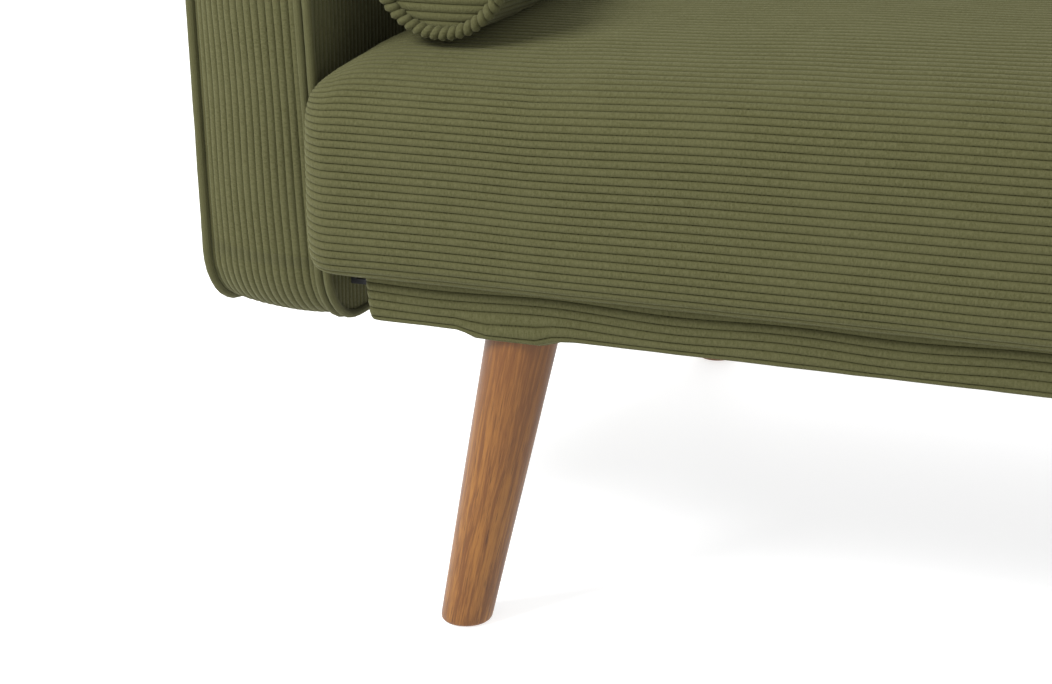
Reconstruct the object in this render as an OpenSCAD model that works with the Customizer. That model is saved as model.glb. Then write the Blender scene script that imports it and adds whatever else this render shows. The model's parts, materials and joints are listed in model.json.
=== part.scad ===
// Click-clack futon sofa bed: an upholstered seat on a low plinth with tapered legs, two arms,
// two back halves that each recline flat on ratchet hinges, and two loose bolsters.
// The front is -Y, up is +Z, and the origin is on the floor at the middle of the outer box.

/* [Seat] */
// Width of the seat cushion from end to end
seat_w = 1740; // [1500:10:1900]
// Depth of the seat cushion from front to rear
seat_d = 565; // [540:5:620]
// Height of the middle of the seat above the floor
seat_crown_z = 449; // [445:1:460]
// Height of the seat cushion's lower face
seat_low_z = 248; // [248:1:250]
// Radius of the seat's crown from front to rear
seat_crown_y_r = 793; // [700:10:1200]
// Radius of the seat's crown from end to end
seat_crown_x_r = 7320; // [7000:10:9000]
// Radius of the seat's upper edges
seat_edge_r = 48; // [40:1:50]
// Radius of the seat's lower edges
seat_low_r = 22; // [15:1:24]

/* [Plinth and legs] */
// Height of the plinth's lower face
plinth_low_z = 214.6; // [214:0.1:216]
// How far the plinth's ends stand in from the seat's ends
plinth_end_inset = 47; // [40:1:50]
// How far the plinth's front stands behind the seat's front
plinth_front_inset = 16; // [14:1:18]
// Diameter of a corner leg at its top
leg_top_d = 52; // [50:1:54]
// Diameter of a corner leg at the floor
leg_foot_d = 37; // [34:1:44]
// How far a corner leg spreads in each direction
leg_spread = 32; // [20:1:36]
// Diameter of the straight leg in the middle
middle_leg_d = 40; // [36:1:50]

/* [Arms] */
// Thickness of an arm
arm_w = 106; // [100:1:112]
// Height of the top of an arm
arm_top_z = 600; // [590:5:620]
// Height of the lower face of an arm
arm_low_z = 193; // [190:1:196]
// Gap between the seat cushion and an arm
arm_gap = 4; // [3:0.5:5]

/* [Back] */
// Length of a back half above its hinge axis
back_up = 450; // [440:5:460]
// Radius of the back's lower front edge, which turns about the hinge axis
back_round = 60; // [58:0.5:60]
// Depth of a back half behind its hinge axis
back_under = 85; // [80:1:85]
// How far the back leans back as a sofa, in degrees
recline = 15; // [12:1:18]
// Height of the hinge axis
axis_z = 365; // [362:1:368]

/* [Bolsters] */
// Diameter of a bolster over its piping
bolster_d = 106; // [100:1:108]
// Length of a bolster
bolster_l = 480; // [420:5:480]
// Distance of a bolster's axis from the seat's end
bolster_inset = 87; // [80:1:100]

/* [Hidden] */
$fn = 96;

olive = [0.41, 0.4, 0.26];
olive_dark = [0.34, 0.33, 0.2];
beech = [0.68, 0.48, 0.31];
pine = [0.82, 0.68, 0.48];
foam_yellow = [0.93, 0.88, 0.68];
steel = [0.62, 0.64, 0.66];
black = [0.13, 0.13, 0.14];

cloth = 2;
slack = 0.5;
crown_fn = 1440;
forward_tilt = 12;

// The back's outline turns about the hinge axis; its centres are given from that axis.
back_crown_u = 200;
back_crown_r = 1300;
back_crown_n = -sqrt(pow(back_crown_r - back_round, 2) - pow(back_crown_u, 2));
back_top_r = 45;
back_top_n = back_crown_n + sqrt(pow(back_crown_r - back_top_r, 2) - pow(back_up - back_top_r - back_crown_u, 2));
back_rear_top_r = 30;
back_rear_low_r = 22;
back_half_gap = 6;
back_end_x = seat_w / 2 - 14;
back_w = back_end_x - back_half_gap;
back_mid_x = (back_end_x + back_half_gap) / 2;
back_cross_r = 6000;
back_cross_crown = back_crown_n + back_crown_r + 1;

// The hinge axis stands just behind the seat. The whole depth, from the front feet to the back's top,
// is centred on the origin.
leg_top_in = 28.6;
feet_ahead = leg_spread + leg_foot_d / 2 - leg_top_in - plinth_front_inset;
seat_to_axis = back_round + 1;
back_reach = (back_up - back_rear_top_r) * sin(recline) + (back_under - back_rear_top_r) * cos(recline)
    + back_rear_top_r;
depth = feet_ahead + seat_d + seat_to_axis + back_reach;
front_y = feet_ahead - depth / 2;
seat_rear_y = front_y + seat_d;
axis_y = seat_rear_y + seat_to_axis;

// Plinth
plinth_x = seat_w / 2 - plinth_end_inset;
plinth_front_y = front_y + plinth_front_inset;
plinth_rear_y = axis_y + 40;
plinth_d = plinth_rear_y - plinth_front_y;
plinth_top_z = seat_low_z - 0.5;
plinth_core_z = plinth_low_z + 2.4;
plinth_core_h = plinth_top_z - plinth_core_z;
plinth_edge_r = 6;
rail_t = 20;
rail_x = plinth_x - cloth - slack;
rail_front_y = plinth_front_y + cloth + slack;
rail_rear_y = plinth_rear_y - cloth - slack;
block_w = 128;
block_d = 110;
block_x = rail_x - rail_t - slack - block_w;
middle_rail_w = 60;

// Legs: the axis of a corner leg goes from its foot up and inward.
leg_top_x = seat_w / 2 - 152.5;
plate_t = 3;
plate_d = 56;
leg_top_z = plinth_low_z - plate_t;
glide_h = 1;
leg_lean = atan(sqrt(2) * leg_spread / leg_top_z);
leg_bolt_r = 4;
fit = 0.1;
plate_screw_r = 2;
plate_screw_at = 17;
leg_places = [
    [-leg_top_x, plinth_front_y + leg_top_in, -1, -1],
    [leg_top_x, plinth_front_y + leg_top_in, 1, -1],
    [-leg_top_x, plinth_rear_y - leg_top_in, -1, 1],
    [leg_top_x, plinth_rear_y - leg_top_in, 1, 1]];
middle_leg_y = (plinth_front_y + plinth_rear_y) / 2;

// Seat frame
frame_z = seat_low_z + 2.5;
frame_h = 25.5;
frame_w = 45;
frame_end_t = 25;
frame_end_x = seat_w / 2 - 10;
hinge_rail_h = 15;
hinge_bolt_z = frame_z + 8;
frame_front_y = front_y + 18;
frame_rear_y = seat_rear_y - 18;
slat_t = 7.7;
slat_z = frame_z + frame_h + 0.3;
slat_w = 60;
slats = 12;
slat_pitch = 136;
foam_low_z = slat_z + slat_t + slack;
frame_bolt_r = 3;
turn_under = 26;

// Arms
arm_x = seat_w / 2 + arm_gap;
arm_end_x = arm_x + arm_w;
arm_front_low_y = front_y + 57.5;
arm_front_top_y = front_y + 19.5;
arm_rear_low_y = axis_y + 30;
arm_rear_top_y = axis_y + 68;
arm_low_r = 47;
arm_top_r = 50;
arm_frame_y = front_y + 78;
arm_frame_d = axis_y + 5 - arm_frame_y;
arm_frame_z = arm_low_z + 22;
arm_frame_h = arm_top_z - 40 - arm_frame_z;
arm_panel_t = 10;
arm_post_w = 60;
arm_rail_h = 40;
arm_core_x = arm_x + cloth + slack;
arm_core_w = 84;
standoff = 30;
standoff_z = plinth_core_z + 15;
standoff_y = [arm_frame_y + arm_post_w / 2, arm_frame_y + arm_frame_d - arm_post_w / 2];
standoff_x = plinth_x + 0.2;
arm_bolt_r = 4;

// Hinges
leaf_t = 3;
leaf_r = 38;
leaf_l = 200;
leaf_n = 18;
leaf_w = 29;
leaf_arm_u = 20;
outer_leaf_x = back_end_x + 0.3;
inner_leaf_x = back_half_gap - 0.4 - leaf_t;
seat_plate_x = frame_end_x;
seat_plate_t = 4;
seat_plate_r = 33;
seat_plate_low_z = frame_z + 1;
bracket_t = 4;
pin_r = 6;
pin_fit = 0.05;
pin_head_r = 11;
pin_head_t = 2.6;
pin_pocket_r = 13;
pin_pocket_t = 7;
hinge_bolt_r = 3;
leaf_bolts_u = [90, 170];
leaf_bolts_n = -leaf_n - leaf_w / 2;
pawl_y = 24;
pawl_z = -62;
pawl_pin_r = 4;
pawl_eye_r = 8;
tooth_r = 2.5;

// Back frame
back_core_n = 15;
back_core_t = 35;
back_core_low_u = -40;
back_core_top_u = back_up - 20;
stile_t = 25;
back_rail_w = 45;
back_slats = 6;
back_slat_t = 8;

// Bolsters
piping_r = 5.5;
bolster_r = bolster_d / 2 - 3;
piping_ring_r = bolster_d / 2 - piping_r;
bolster_x = seat_w / 2 - bolster_inset;
bolster_y = front_y + 52;
bolster_lift = 0.4;
bolster_z = seat_crown_z - seat_crown_x_r
    + sqrt(pow(seat_crown_x_r + bolster_d / 2 + bolster_lift, 2) - pow(bolster_x, 2));

// ---- helpers ----

function unit(v) = v / norm(v);
function half_angle(a, b, c) = acos(unit(a - b) * unit(c - b)) / 2;

// Shapes the right-hand side, or its mirror image on the left.
module on_side(side) {
    mirror([side < 0 ? 1 : 0, 0, 0]) children();
}

// Puts an outline drawn in Y and Z at x, going w towards +X.
module along_x(x, w) {
    translate([x, 0, 0]) rotate([90, 0, 90]) linear_extrude(w) children();
}

// Puts an outline drawn in X and Z at y, going d towards +Y.
module along_y(y, d) {
    translate([0, y + d, 0]) rotate([90, 0, 0]) linear_extrude(d) children();
}

// A rod along X that starts at x.
module rod_x(x, l, r) {
    translate([x, 0, 0]) rotate([0, 90, 0]) cylinder(h = l, r = r);
}

// Holds its children in the frame of a back: X across, -Y forward, Z up the back from the axis.
module on_back() {
    translate([0, axis_y, axis_z]) rotate([-recline, 0, 0]) children();
}

// A convex outline with each corner rounded by its own radius.
module rounded_outline(corners, radii) {
    n = len(corners);
    polygon([
        for (i = [0 : n - 1])
            let (b = corners[i], a = corners[(i + n - 1) % n], c = corners[(i + 1) % n])
            let (reach = radii[i] / tan(half_angle(a, b, c)))
            each [b + unit(a - b) * reach, b + unit(c - b) * reach]]);
    for (i = [0 : n - 1]) {
        b = corners[i];
        a = corners[(i + n - 1) % n];
        c = corners[(i + 1) % n];
        translate(b + unit(unit(a - b) + unit(c - b)) * radii[i] / sin(half_angle(a, b, c)))
            circle(r = radii[i]);
    }
}

// A block outline with a crowned top: w wide about x = 0, from low to crown.
module crowned_outline(w, low, crown, crown_r, top_r, low_r) {
    in_x = w / 2 - top_r;
    corner_z = crown - crown_r + sqrt(pow(crown_r - top_r, 2) - pow(in_x, 2));
    intersection() {
        translate([0, crown - crown_r]) circle(r = crown_r, $fn = crown_fn);
        translate([-in_x, low + low_r]) square([2 * in_x, crown - low]);
    }
    translate([-w / 2, low + low_r]) square([w, corner_z - low - low_r]);
    translate([-w / 2 + low_r, low]) square([w - 2 * low_r, low_r + 1]);
    for (side = [-1, 1]) {
        translate([side * in_x, corner_z]) circle(r = top_r);
        translate([side * (w / 2 - low_r), low + low_r]) circle(r = low_r);
    }
}

// ---- plinth ----

// Planes a small chamfer off the lower outer edges of the rails, so the cloth turns round them softly.
module eased() {
    ease = 2.2;
    x = rail_x;
    low = plinth_core_z;
    top = plinth_top_z + 1;
    intersection() {
        children();
        along_y(rail_front_y - 1, rail_rear_y - rail_front_y + 2)
            polygon([[-x + ease, low], [x - ease, low], [x, low + ease], [x, top], [-x, top], [-x, low + ease]]);
        along_x(-x - 1, 2 * x + 2)
            polygon([[rail_front_y + ease, low], [rail_rear_y - ease, low], [rail_rear_y, low + ease],
                [rail_rear_y, top], [rail_front_y, top], [rail_front_y, low + ease]]);
    }
}

module plinth_front_rail() {
    color(pine) difference() {
        eased() translate([-block_x + slack, rail_front_y, plinth_core_z])
            cube([2 * (block_x - slack), rail_t, plinth_core_h]);
        frame_bolt_holes();
    }
}

module plinth_rear_rail() {
    color(pine) eased() translate([-block_x + slack, rail_rear_y - rail_t, plinth_core_z])
        cube([2 * (block_x - slack), rail_t, plinth_core_h]);
}

module plinth_side_rails() {
    color(pine) difference() {
        for (side = [-1, 1]) eased() on_side(side)
            translate([rail_x - rail_t, rail_front_y, plinth_core_z])
                cube([rail_t, rail_rear_y - rail_front_y, plinth_core_h]);
        frame_bolt_holes();
        for (side = [-1, 1], y = standoff_y) on_side(side)
            translate([0, y, standoff_z]) rod_x(rail_x - rail_t - 1, rail_t + 2, arm_bolt_r + fit);
    }
}

module plinth_middle_rail() {
    color(pine) difference() {
        translate([-middle_rail_w / 2, rail_front_y + rail_t + slack, plinth_core_z])
            cube([middle_rail_w, rail_rear_y - rail_front_y - 2 * (rail_t + slack), plinth_core_h]);
        frame_bolt_holes();
        translate([0, middle_leg_y, leg_top_z]) leg_fixing_holes();
    }
}

// Glued blocks in the plinth's corners, which the legs' plates are screwed to.
module corner_blocks() {
    color(pine) for (place = leg_places) difference() {
        eased() corner_block(place);
        at_leg(place) leg_bolt_hole();
        translate([place[0], place[1], leg_top_z]) plate_screw_holes();
        // A way through for the socket that turns the arm's bolt.
        for (y = standoff_y) translate([0, y, standoff_z])
            rod_x(place[2] < 0 ? -block_x - block_w - 1 : block_x - 1, block_w + 2, 11);
    }
}

module corner_block(place) {
    low_x = place[2] < 0 ? -block_x - block_w : block_x;
    low_y = place[3] < 0 ? rail_front_y : rail_rear_y - block_d;
    translate([low_x, low_y, plinth_core_z]) cube([block_w, block_d, plinth_core_h]);
}

// The cloth on one rail: it covers the face and turns under, round a soft lower edge.
module cover_profile() {
    difference() {
        union() {
            translate([0, plinth_edge_r]) square([cloth, plinth_top_z - plinth_low_z - plinth_edge_r]);
            translate([plinth_edge_r, 0]) square([36, cloth]);
            difference() {
                translate([plinth_edge_r, plinth_edge_r]) circle(r = plinth_edge_r);
                translate([plinth_edge_r, -1]) square([2 * plinth_edge_r, 3 * plinth_edge_r]);
                translate([-1, plinth_edge_r]) square([3 * plinth_edge_r, 2 * plinth_edge_r]);
            }
        }
        translate([plinth_edge_r, plinth_edge_r]) circle(r = plinth_edge_r - cloth);
    }
}

module plinth_front_cover() {
    color(olive) difference() {
        translate([0, plinth_front_y, plinth_low_z]) along_x(-plinth_x, 2 * plinth_x) cover_profile();
        plate_holes();
    }
}

module plinth_rear_cover() {
    color(olive) difference() {
        translate([0, plinth_rear_y, plinth_low_z])
            mirror([0, 1, 0]) along_x(-plinth_x, 2 * plinth_x) cover_profile();
        plate_holes();
    }
}

module plinth_end_covers() {
    run = plinth_d - 2 * (plinth_edge_r + 36 + slack);
    color(olive) difference() {
        for (side = [-1, 1]) on_side(side)
            translate([plinth_x, 0, plinth_low_z]) mirror([1, 0, 0])
                along_y(plinth_front_y + plinth_edge_r + 36 + slack, run) cover_profile();
        for (side = [-1, 1], y = standoff_y) on_side(side)
            translate([0, y, standoff_z]) rod_x(plinth_x - cloth - 1, cloth + 2, arm_bolt_r + fit);
    }
}

module plate_holes() {
    for (place = leg_places)
        translate([place[0], place[1], plinth_low_z - 2]) cylinder(h = 6, d = plate_d + 1);
}

module dust_cover() {
    margin = 14;
    color(black) difference() {
        translate([-plinth_x + margin, plinth_front_y + margin, plinth_low_z - 0.8])
            cube([2 * (plinth_x - margin), plinth_d - 2 * margin, 0.7]);
        plate_holes();
        translate([0, middle_leg_y, plinth_low_z - 2]) cylinder(h = 6, d = plate_d + 1);
    }
}

// ---- legs ----

// Puts children at the top of a corner leg, with -Z along the leg's axis.
module at_leg(place) {
    translate([place[0], place[1], leg_top_z])
        rotate([0, 0, atan2(place[3], place[2])]) rotate([0, -leg_lean, 0]) children();
}

module leg_bolt_hole() {
    translate([0, 0, -26]) cylinder(h = 56, r = leg_bolt_r + fit);
}

module plate_screw_holes() {
    for (x = [-plate_screw_at, plate_screw_at])
        translate([x, 0, -1]) cylinder(h = 26, r = plate_screw_r + fit);
}

module leg_fixing_holes() {
    leg_bolt_hole();
    plate_screw_holes();
}

module corner_leg(place) {
    over = 12;
    slant = leg_top_z / cos(leg_lean);
    taper = (leg_top_d - leg_foot_d) / 2 / slant;
    color(beech) difference() {
        intersection() {
            at_leg(place) translate([0, 0, -slant - over])
                cylinder(h = slant + 2 * over, r1 = leg_foot_d / 2 - taper * over,
                    r2 = leg_top_d / 2 + taper * over);
            translate([place[0] - 200, place[1] - 200, glide_h]) cube([400, 400, leg_top_z - glide_h - 0.1]);
        }
        at_leg(place) leg_bolt_hole();
        at_foot(place) translate([0, 0, -1]) cylinder(h = 5, r = 2.1);
    }
}

module at_foot(place) {
    translate([place[0] + place[2] * leg_spread, place[1] + place[3] * leg_spread, glide_h]) children();
}

module leg_front_left() { corner_leg(leg_places[0]); }
module leg_front_right() { corner_leg(leg_places[1]); }
module leg_rear_left() { corner_leg(leg_places[2]); }
module leg_rear_right() { corner_leg(leg_places[3]); }

module middle_leg() {
    color(beech) difference() {
        translate([0, middle_leg_y, glide_h]) cylinder(h = leg_top_z - glide_h - 0.1, d = middle_leg_d);
        translate([0, middle_leg_y, leg_top_z]) leg_bolt_hole();
        translate([0, middle_leg_y, 0]) cylinder(h = 5, r = 2.1);
    }
}

// A steel flange with a threaded middle, between the leg and the plinth.
module leg_plate() {
    difference() {
        cylinder(h = plate_t, d = plate_d);
        for (x = [-plate_screw_at, plate_screw_at])
            translate([x, 0, -1]) cylinder(h = plate_t + 2, r = plate_screw_r + fit);
    }
}

module leg_plates() {
    color(steel) {
        for (place = leg_places) difference() {
            translate([place[0], place[1], leg_top_z]) leg_plate();
            at_leg(place) leg_bolt_hole();
        }
        translate([0, middle_leg_y, leg_top_z]) difference() {
            leg_plate();
            leg_bolt_hole();
        }
    }
}

module leg_bolt() {
    translate([0, 0, -25]) cylinder(h = 50, r = leg_bolt_r);
}

module leg_bolts() {
    color(steel) {
        for (place = leg_places) at_leg(place) leg_bolt();
        translate([0, middle_leg_y, leg_top_z]) leg_bolt();
    }
}

// The screws' heads lie flush in the flange, under the leg's top.
module leg_plate_screws() {
    color(steel) {
        for (place = leg_places) translate([place[0], place[1], leg_top_z]) plate_screw_pair();
        translate([0, middle_leg_y, leg_top_z]) plate_screw_pair();
    }
}

module plate_screw_pair() {
    for (x = [-plate_screw_at, plate_screw_at])
        translate([x, 0, 0.1]) cylinder(h = 22, r = plate_screw_r);
}

module leg_glide() {
    translate([0, 0, -glide_h]) cylinder(h = glide_h - 0.05, r = 13);
    translate([0, 0, -0.1]) cylinder(h = 3.8, r = 2);
}

module leg_glides() {
    color(black) {
        for (place = leg_places) at_foot(place) leg_glide();
        translate([0, middle_leg_y, glide_h]) leg_glide();
    }
}

// ---- bolts between the plinth and the seat frame ----

frame_bolt_y = rail_front_y + rail_t - 4;
frame_bolt_places = [
    for (x = [-600, -300, 300, 600]) [x, frame_bolt_y],
    for (x = [-rail_x + rail_t / 2, 0, rail_x - rail_t / 2]) [x, frame_rear_y - frame_w / 2]];

module frame_bolt_holes() {
    for (place = frame_bolt_places)
        translate([place[0], place[1], plinth_low_z - 5]) cylinder(h = 80, r = frame_bolt_r + fit);
}

module frame_bolts() {
    color(steel) for (place = frame_bolt_places)
        translate([place[0], place[1], plinth_core_z + 0.2]) cylinder(h = 54, r = frame_bolt_r);
}

// ---- seat ----

module seat_front_rail() {
    color(pine) difference() {
        translate([-frame_end_x + frame_end_t + slack, frame_front_y, frame_z])
            cube([2 * (frame_end_x - frame_end_t - slack), frame_w, frame_h]);
        frame_bolt_holes();
    }
}

module seat_rear_rail() {
    color(pine) difference() {
        translate([-frame_end_x + frame_end_t + slack, frame_rear_y - frame_w, frame_z])
            cube([2 * (frame_end_x - frame_end_t - slack), frame_w, frame_h]);
        frame_bolt_holes();
    }
}

// The end rails run on past the seat to carry the ratchet hinges. They are planed off along the lower outer
// edge, where the cloth turns, and lower behind the seat, where the back swings down over them.
module seat_end_rails() {
    chamfer = 9;
    color(pine) difference() {
        for (side = [-1, 1]) on_side(side) difference() {
            translate([frame_end_x - frame_end_t, frame_front_y, frame_z])
                cube([frame_end_t, axis_y + 40 - frame_front_y, frame_h]);
            along_y(frame_front_y - 1, seat_rear_y - 29 - frame_front_y)
                polygon([[frame_end_x + 1, frame_z - 1], [frame_end_x + 1, frame_z + chamfer],
                    [frame_end_x, frame_z + chamfer], [frame_end_x - chamfer, frame_z],
                    [frame_end_x - chamfer, frame_z - 1]]);
            translate([frame_end_x - frame_end_t - 1, seat_rear_y + 4, frame_z + hinge_rail_h])
                cube([frame_end_t + 2, axis_y + 41 - seat_rear_y, frame_h]);
        }
        hinge_bolt_holes();
    }
}

module seat_middle_rail() {
    color(pine) translate([-middle_rail_w / 2, frame_front_y + frame_w + slack, frame_z])
        cube([middle_rail_w, frame_rear_y - frame_front_y - 2 * (frame_w + slack), frame_h]);
}

module seat_slats() {
    color(beech) for (i = [0 : slats - 1])
        translate([(i - (slats - 1) / 2) * slat_pitch - slat_w / 2, frame_front_y + 4, slat_z])
            cube([slat_w, frame_rear_y - frame_front_y - 8, slat_t]);
}

// The cushion's shape, drawn in from its outer face by t.
module seat_body(t) {
    intersection() {
        along_y(front_y + t, seat_d - 2 * t)
            crowned_outline(seat_w - 2 * t, seat_low_z + t, seat_crown_z - t, seat_crown_x_r - t,
                seat_edge_r - t, seat_low_r - t);
        along_x(-seat_w / 2 + t, seat_w - 2 * t)
            translate([front_y + seat_d / 2, 0])
                crowned_outline(seat_d - 2 * t, seat_low_z + t, seat_crown_z - t, seat_crown_y_r - t,
                    seat_edge_r - t, seat_low_r - t);
    }
}

// The end rails pass out through the rear of the cushion.
module end_rail_slots() {
    for (side = [-1, 1]) on_side(side)
        translate([frame_end_x - frame_end_t - 1, seat_rear_y - 30, frame_z - 1])
            cube([frame_end_t + 2, 60, frame_h + 2]);
}

module seat_foam() {
    color(foam_yellow) difference() {
        seat_body(cloth + slack);
        translate([-frame_end_x - slack, frame_front_y - slack, seat_low_z - 1])
            cube([2 * (frame_end_x + slack), frame_rear_y - frame_front_y + 2 * slack,
                foam_low_z - seat_low_z + 1]);
        end_rail_slots();
    }
}

module seat_cover() {
    color(olive) difference() {
        seat_body(0);
        seat_body(cloth);
        translate([-seat_w / 2 + turn_under, front_y + turn_under, seat_low_z - 1])
            cube([seat_w - 2 * turn_under, seat_d - 2 * turn_under, 10]);
        end_rail_slots();
    }
}

// ---- arms ----

// The corners of an arm's side view, drawn in from its outer face by t, and their radii.
arm_lean = atan((arm_front_low_y - arm_front_top_y) / (arm_top_z - arm_low_z));
function arm_corners(t) =
    let (low = t / cos(arm_lean) - t * tan(arm_lean), top = t / cos(arm_lean) + t * tan(arm_lean)) [
        [arm_front_low_y + low, arm_low_z + t],
        [arm_rear_low_y - low, arm_low_z + t],
        [arm_rear_top_y - top, arm_top_z - t],
        [arm_front_top_y + top, arm_top_z - t]];
function arm_radii(t) = [arm_low_r - t, arm_low_r - t, arm_top_r - t, arm_top_r - t];

module arm_outline(t) {
    rounded_outline(arm_corners(t), arm_radii(t));
}

// The same outline with each round corner in short straight steps, as piping is bent round it.
module arm_stepped_outline(t) {
    corners = arm_corners(t);
    radii = arm_radii(t);
    steps = 10;
    polygon([for (i = [0 : 3], k = [0 : steps])
        let (b = corners[i], a = corners[(i + 3) % 4], c = corners[(i + 1) % 4])
        let (half = half_angle(a, b, c), middle = unit(a - b) + unit(c - b))
        let (turn = (90 - half) * (2 * k / steps - 1), towards = atan2(-middle[1], -middle[0]))
            b + unit(middle) * radii[i] / sin(half)
                + radii[i] * [cos(towards + turn), sin(towards + turn)]]);
}

// Two posts, two rails and the boards on both faces of them.
module arm_frame(side) {
    color(pine) on_side(side) difference() {
        intersection() {
            arm_frame_outline();
            arm_frame_parts();
        }
        arm_bolt_holes();
    }
}

// The frame's corners are cut off, clear of the round corners of the cloth.
module arm_frame_outline() {
    cut = 22;
    y1 = arm_frame_y + arm_frame_d;
    z1 = arm_frame_z + arm_frame_h;
    along_x(arm_core_x - 1, arm_core_w + 2)
        polygon([[arm_frame_y + cut, arm_frame_z], [y1 - cut, arm_frame_z], [y1, arm_frame_z + cut],
            [y1, z1 - cut], [y1 - cut, z1], [arm_frame_y + cut, z1], [arm_frame_y, z1 - cut],
            [arm_frame_y, arm_frame_z + cut]]);
}

module arm_frame_parts() {
    post_x = arm_core_x + arm_panel_t + slack;
    post_t = arm_core_w - 2 * slack - arm_panel_t - 4;
    translate([arm_core_x, arm_frame_y, arm_frame_z])
        cube([arm_panel_t, arm_frame_d, arm_frame_h]);
    translate([arm_core_x + arm_core_w - 4, arm_frame_y, arm_frame_z])
        cube([4, arm_frame_d, arm_frame_h]);
    for (y = [arm_frame_y, arm_frame_y + arm_frame_d - arm_post_w])
        translate([post_x, y, arm_frame_z]) cube([post_t, arm_post_w, arm_frame_h]);
    for (z = [arm_frame_z, arm_frame_z + arm_frame_h - arm_rail_h])
        translate([post_x, arm_frame_y + arm_post_w + slack, z])
            cube([post_t, arm_frame_d - 2 * (arm_post_w + slack), arm_rail_h]);
}

module arm_bolt_holes() {
    for (y = standoff_y) translate([0, y, standoff_z]) rod_x(plinth_x - 60, 172, arm_bolt_r + fit);
}

module arm_foam(side) {
    color(foam_yellow) on_side(side) difference() {
        along_x(arm_core_x, arm_w - 2 * (cloth + slack)) arm_outline(cloth + slack);
        translate([arm_core_x - 1, arm_frame_y - slack, arm_frame_z - slack])
            cube([arm_core_w + 1 + slack, arm_frame_d + 2 * slack, arm_frame_h + 2 * slack]);
    }
}

module arm_cover(side) {
    color(olive) on_side(side) difference() {
        along_x(arm_x, arm_w) arm_outline(0);
        along_x(arm_x + cloth, arm_w - 2 * cloth) arm_outline(cloth);
        arm_bolt_holes();
    }
}

// Piping round both edges of the arm's band.
module arm_welts(side) {
    welt = 5;
    color(olive_dark) on_side(side) for (x = [arm_x, arm_end_x - welt]) along_x(x, welt)
        difference() {
            arm_stepped_outline(-2.8);
            arm_stepped_outline(-0.3);
        }
}

// Square steel tubes that hold the arm clear of the plinth, below the seat.
module arm_standoffs() {
    wall = 4;
    color(steel) for (side = [-1, 1], y = standoff_y) on_side(side) difference() {
        translate([standoff_x, y - standoff / 2, standoff_z - standoff / 2])
            cube([arm_x - 0.2 - standoff_x, standoff, standoff]);
        translate([standoff_x + wall, y - standoff / 2 - 1, standoff_z - standoff / 2 + wall])
            cube([arm_x - 0.2 - standoff_x - 2 * wall, standoff + 2, standoff - 2 * wall]);
        arm_bolt_holes();
    }
}

module arm_bolts() {
    head = 5;
    color(steel) for (side = [-1, 1], y = standoff_y) on_side(side) translate([0, y, standoff_z]) {
        rod_x(rail_x - rail_t - head, 130, arm_bolt_r);
        rod_x(rail_x - rail_t - head - 0.1, head, 9);
    }
}

// ---- backs ----

// A back's side view, drawn in by t: Y is behind the axis and Z is up the back.
module back_outline(t) {
    top_u = back_up - back_top_r;
    intersection() {
        translate([-back_crown_n, back_crown_u]) circle(r = back_crown_r - t, $fn = crown_fn);
        translate([-200, 0]) square([200, top_u]);
    }
    circle(r = back_round - t);
    translate([-back_top_n, top_u]) circle(r = back_top_r - t);
    rear_y = back_under - t;
    low_z = -back_round + t;
    translate([back_under - back_rear_low_r, -back_round + back_rear_low_r]) circle(r = back_rear_low_r - t);
    translate([back_under - back_rear_top_r, back_up - back_rear_top_r]) circle(r = back_rear_top_r - t);
    translate([0, low_z]) square([back_under - back_rear_low_r, back_round - t + 1]);
    translate([-back_top_n, top_u - 1])
        square([back_under - back_rear_top_r + back_top_n, back_up - t - top_u + 1]);
    translate([0, -back_round + back_rear_low_r])
        square([rear_y, back_up - back_rear_top_r + back_round - back_rear_low_r]);
    translate([-back_top_n, 0]) square([back_top_n + 1, top_u]);
}

// One back half, drawn in by t, in the frame of the back.
module back_body(t) {
    intersection() {
        along_x(back_half_gap + t, back_w - 2 * t) back_outline(t);
        translate([back_mid_x, 0, -back_round]) mirror([0, 1, 0])
            linear_extrude(back_up + back_round)
                crowned_outline(back_w - 2 * t, -back_under + t, back_cross_crown - t, back_cross_r - t,
                    35 - t, 20 - t);
    }
}

module back_core_cavity() {
    translate([0, back_core_n - slack, back_core_low_u - slack])
        cube([back_end_x + 10, back_core_t + 2 * slack, back_core_top_u - back_core_low_u + 2 * slack]);
}

// Room for the ends of the hinge pins in both ends of a back half.
module pin_pockets() {
    rod_x(0, back_half_gap + pin_pocket_t, pin_pocket_r);
    rod_x(back_end_x - pin_pocket_t, pin_pocket_t + 2, pin_pocket_r);
}

module leaf_bolt_holes() {
    for (u = leaf_bolts_u) translate([0, -leaf_bolts_n, u]) {
        rod_x(0, 40, hinge_bolt_r + fit);
        rod_x(back_end_x - 34, 40, hinge_bolt_r + fit);
    }
}

module back_frame(side) {
    x0 = back_half_gap + cloth + slack;
    x1 = back_end_x - cloth - slack;
    rail_len = x1 - x0 - 2 * (stile_t + slack);
    rail_n = back_core_t - back_slat_t - 1;
    color(pine) on_side(side) on_back() difference() {
        union() {
            for (x = [x0, x1 - stile_t]) translate([x, back_core_n, back_core_low_u])
                cube([stile_t, back_core_t, back_core_top_u - back_core_low_u]);
            for (u = [back_core_low_u, (back_core_low_u + back_core_top_u - back_rail_w) / 2,
                    back_core_top_u - back_rail_w])
                translate([x0 + stile_t + slack, back_core_n + back_slat_t + 1, u])
                    cube([rail_len, rail_n, back_rail_w]);
        }
        leaf_bolt_holes();
    }
}

module back_slats(side) {
    x0 = back_half_gap + cloth + slack + stile_t;
    pitch = (back_w - 2 * (cloth + slack + stile_t)) / back_slats;
    color(beech) on_side(side) on_back() for (i = [0 : back_slats - 1])
        translate([x0 + (i + 0.5) * pitch - slat_w / 2, back_core_n + 0.5, back_core_low_u])
            cube([slat_w, back_slat_t, back_core_top_u - back_core_low_u]);
}

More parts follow.
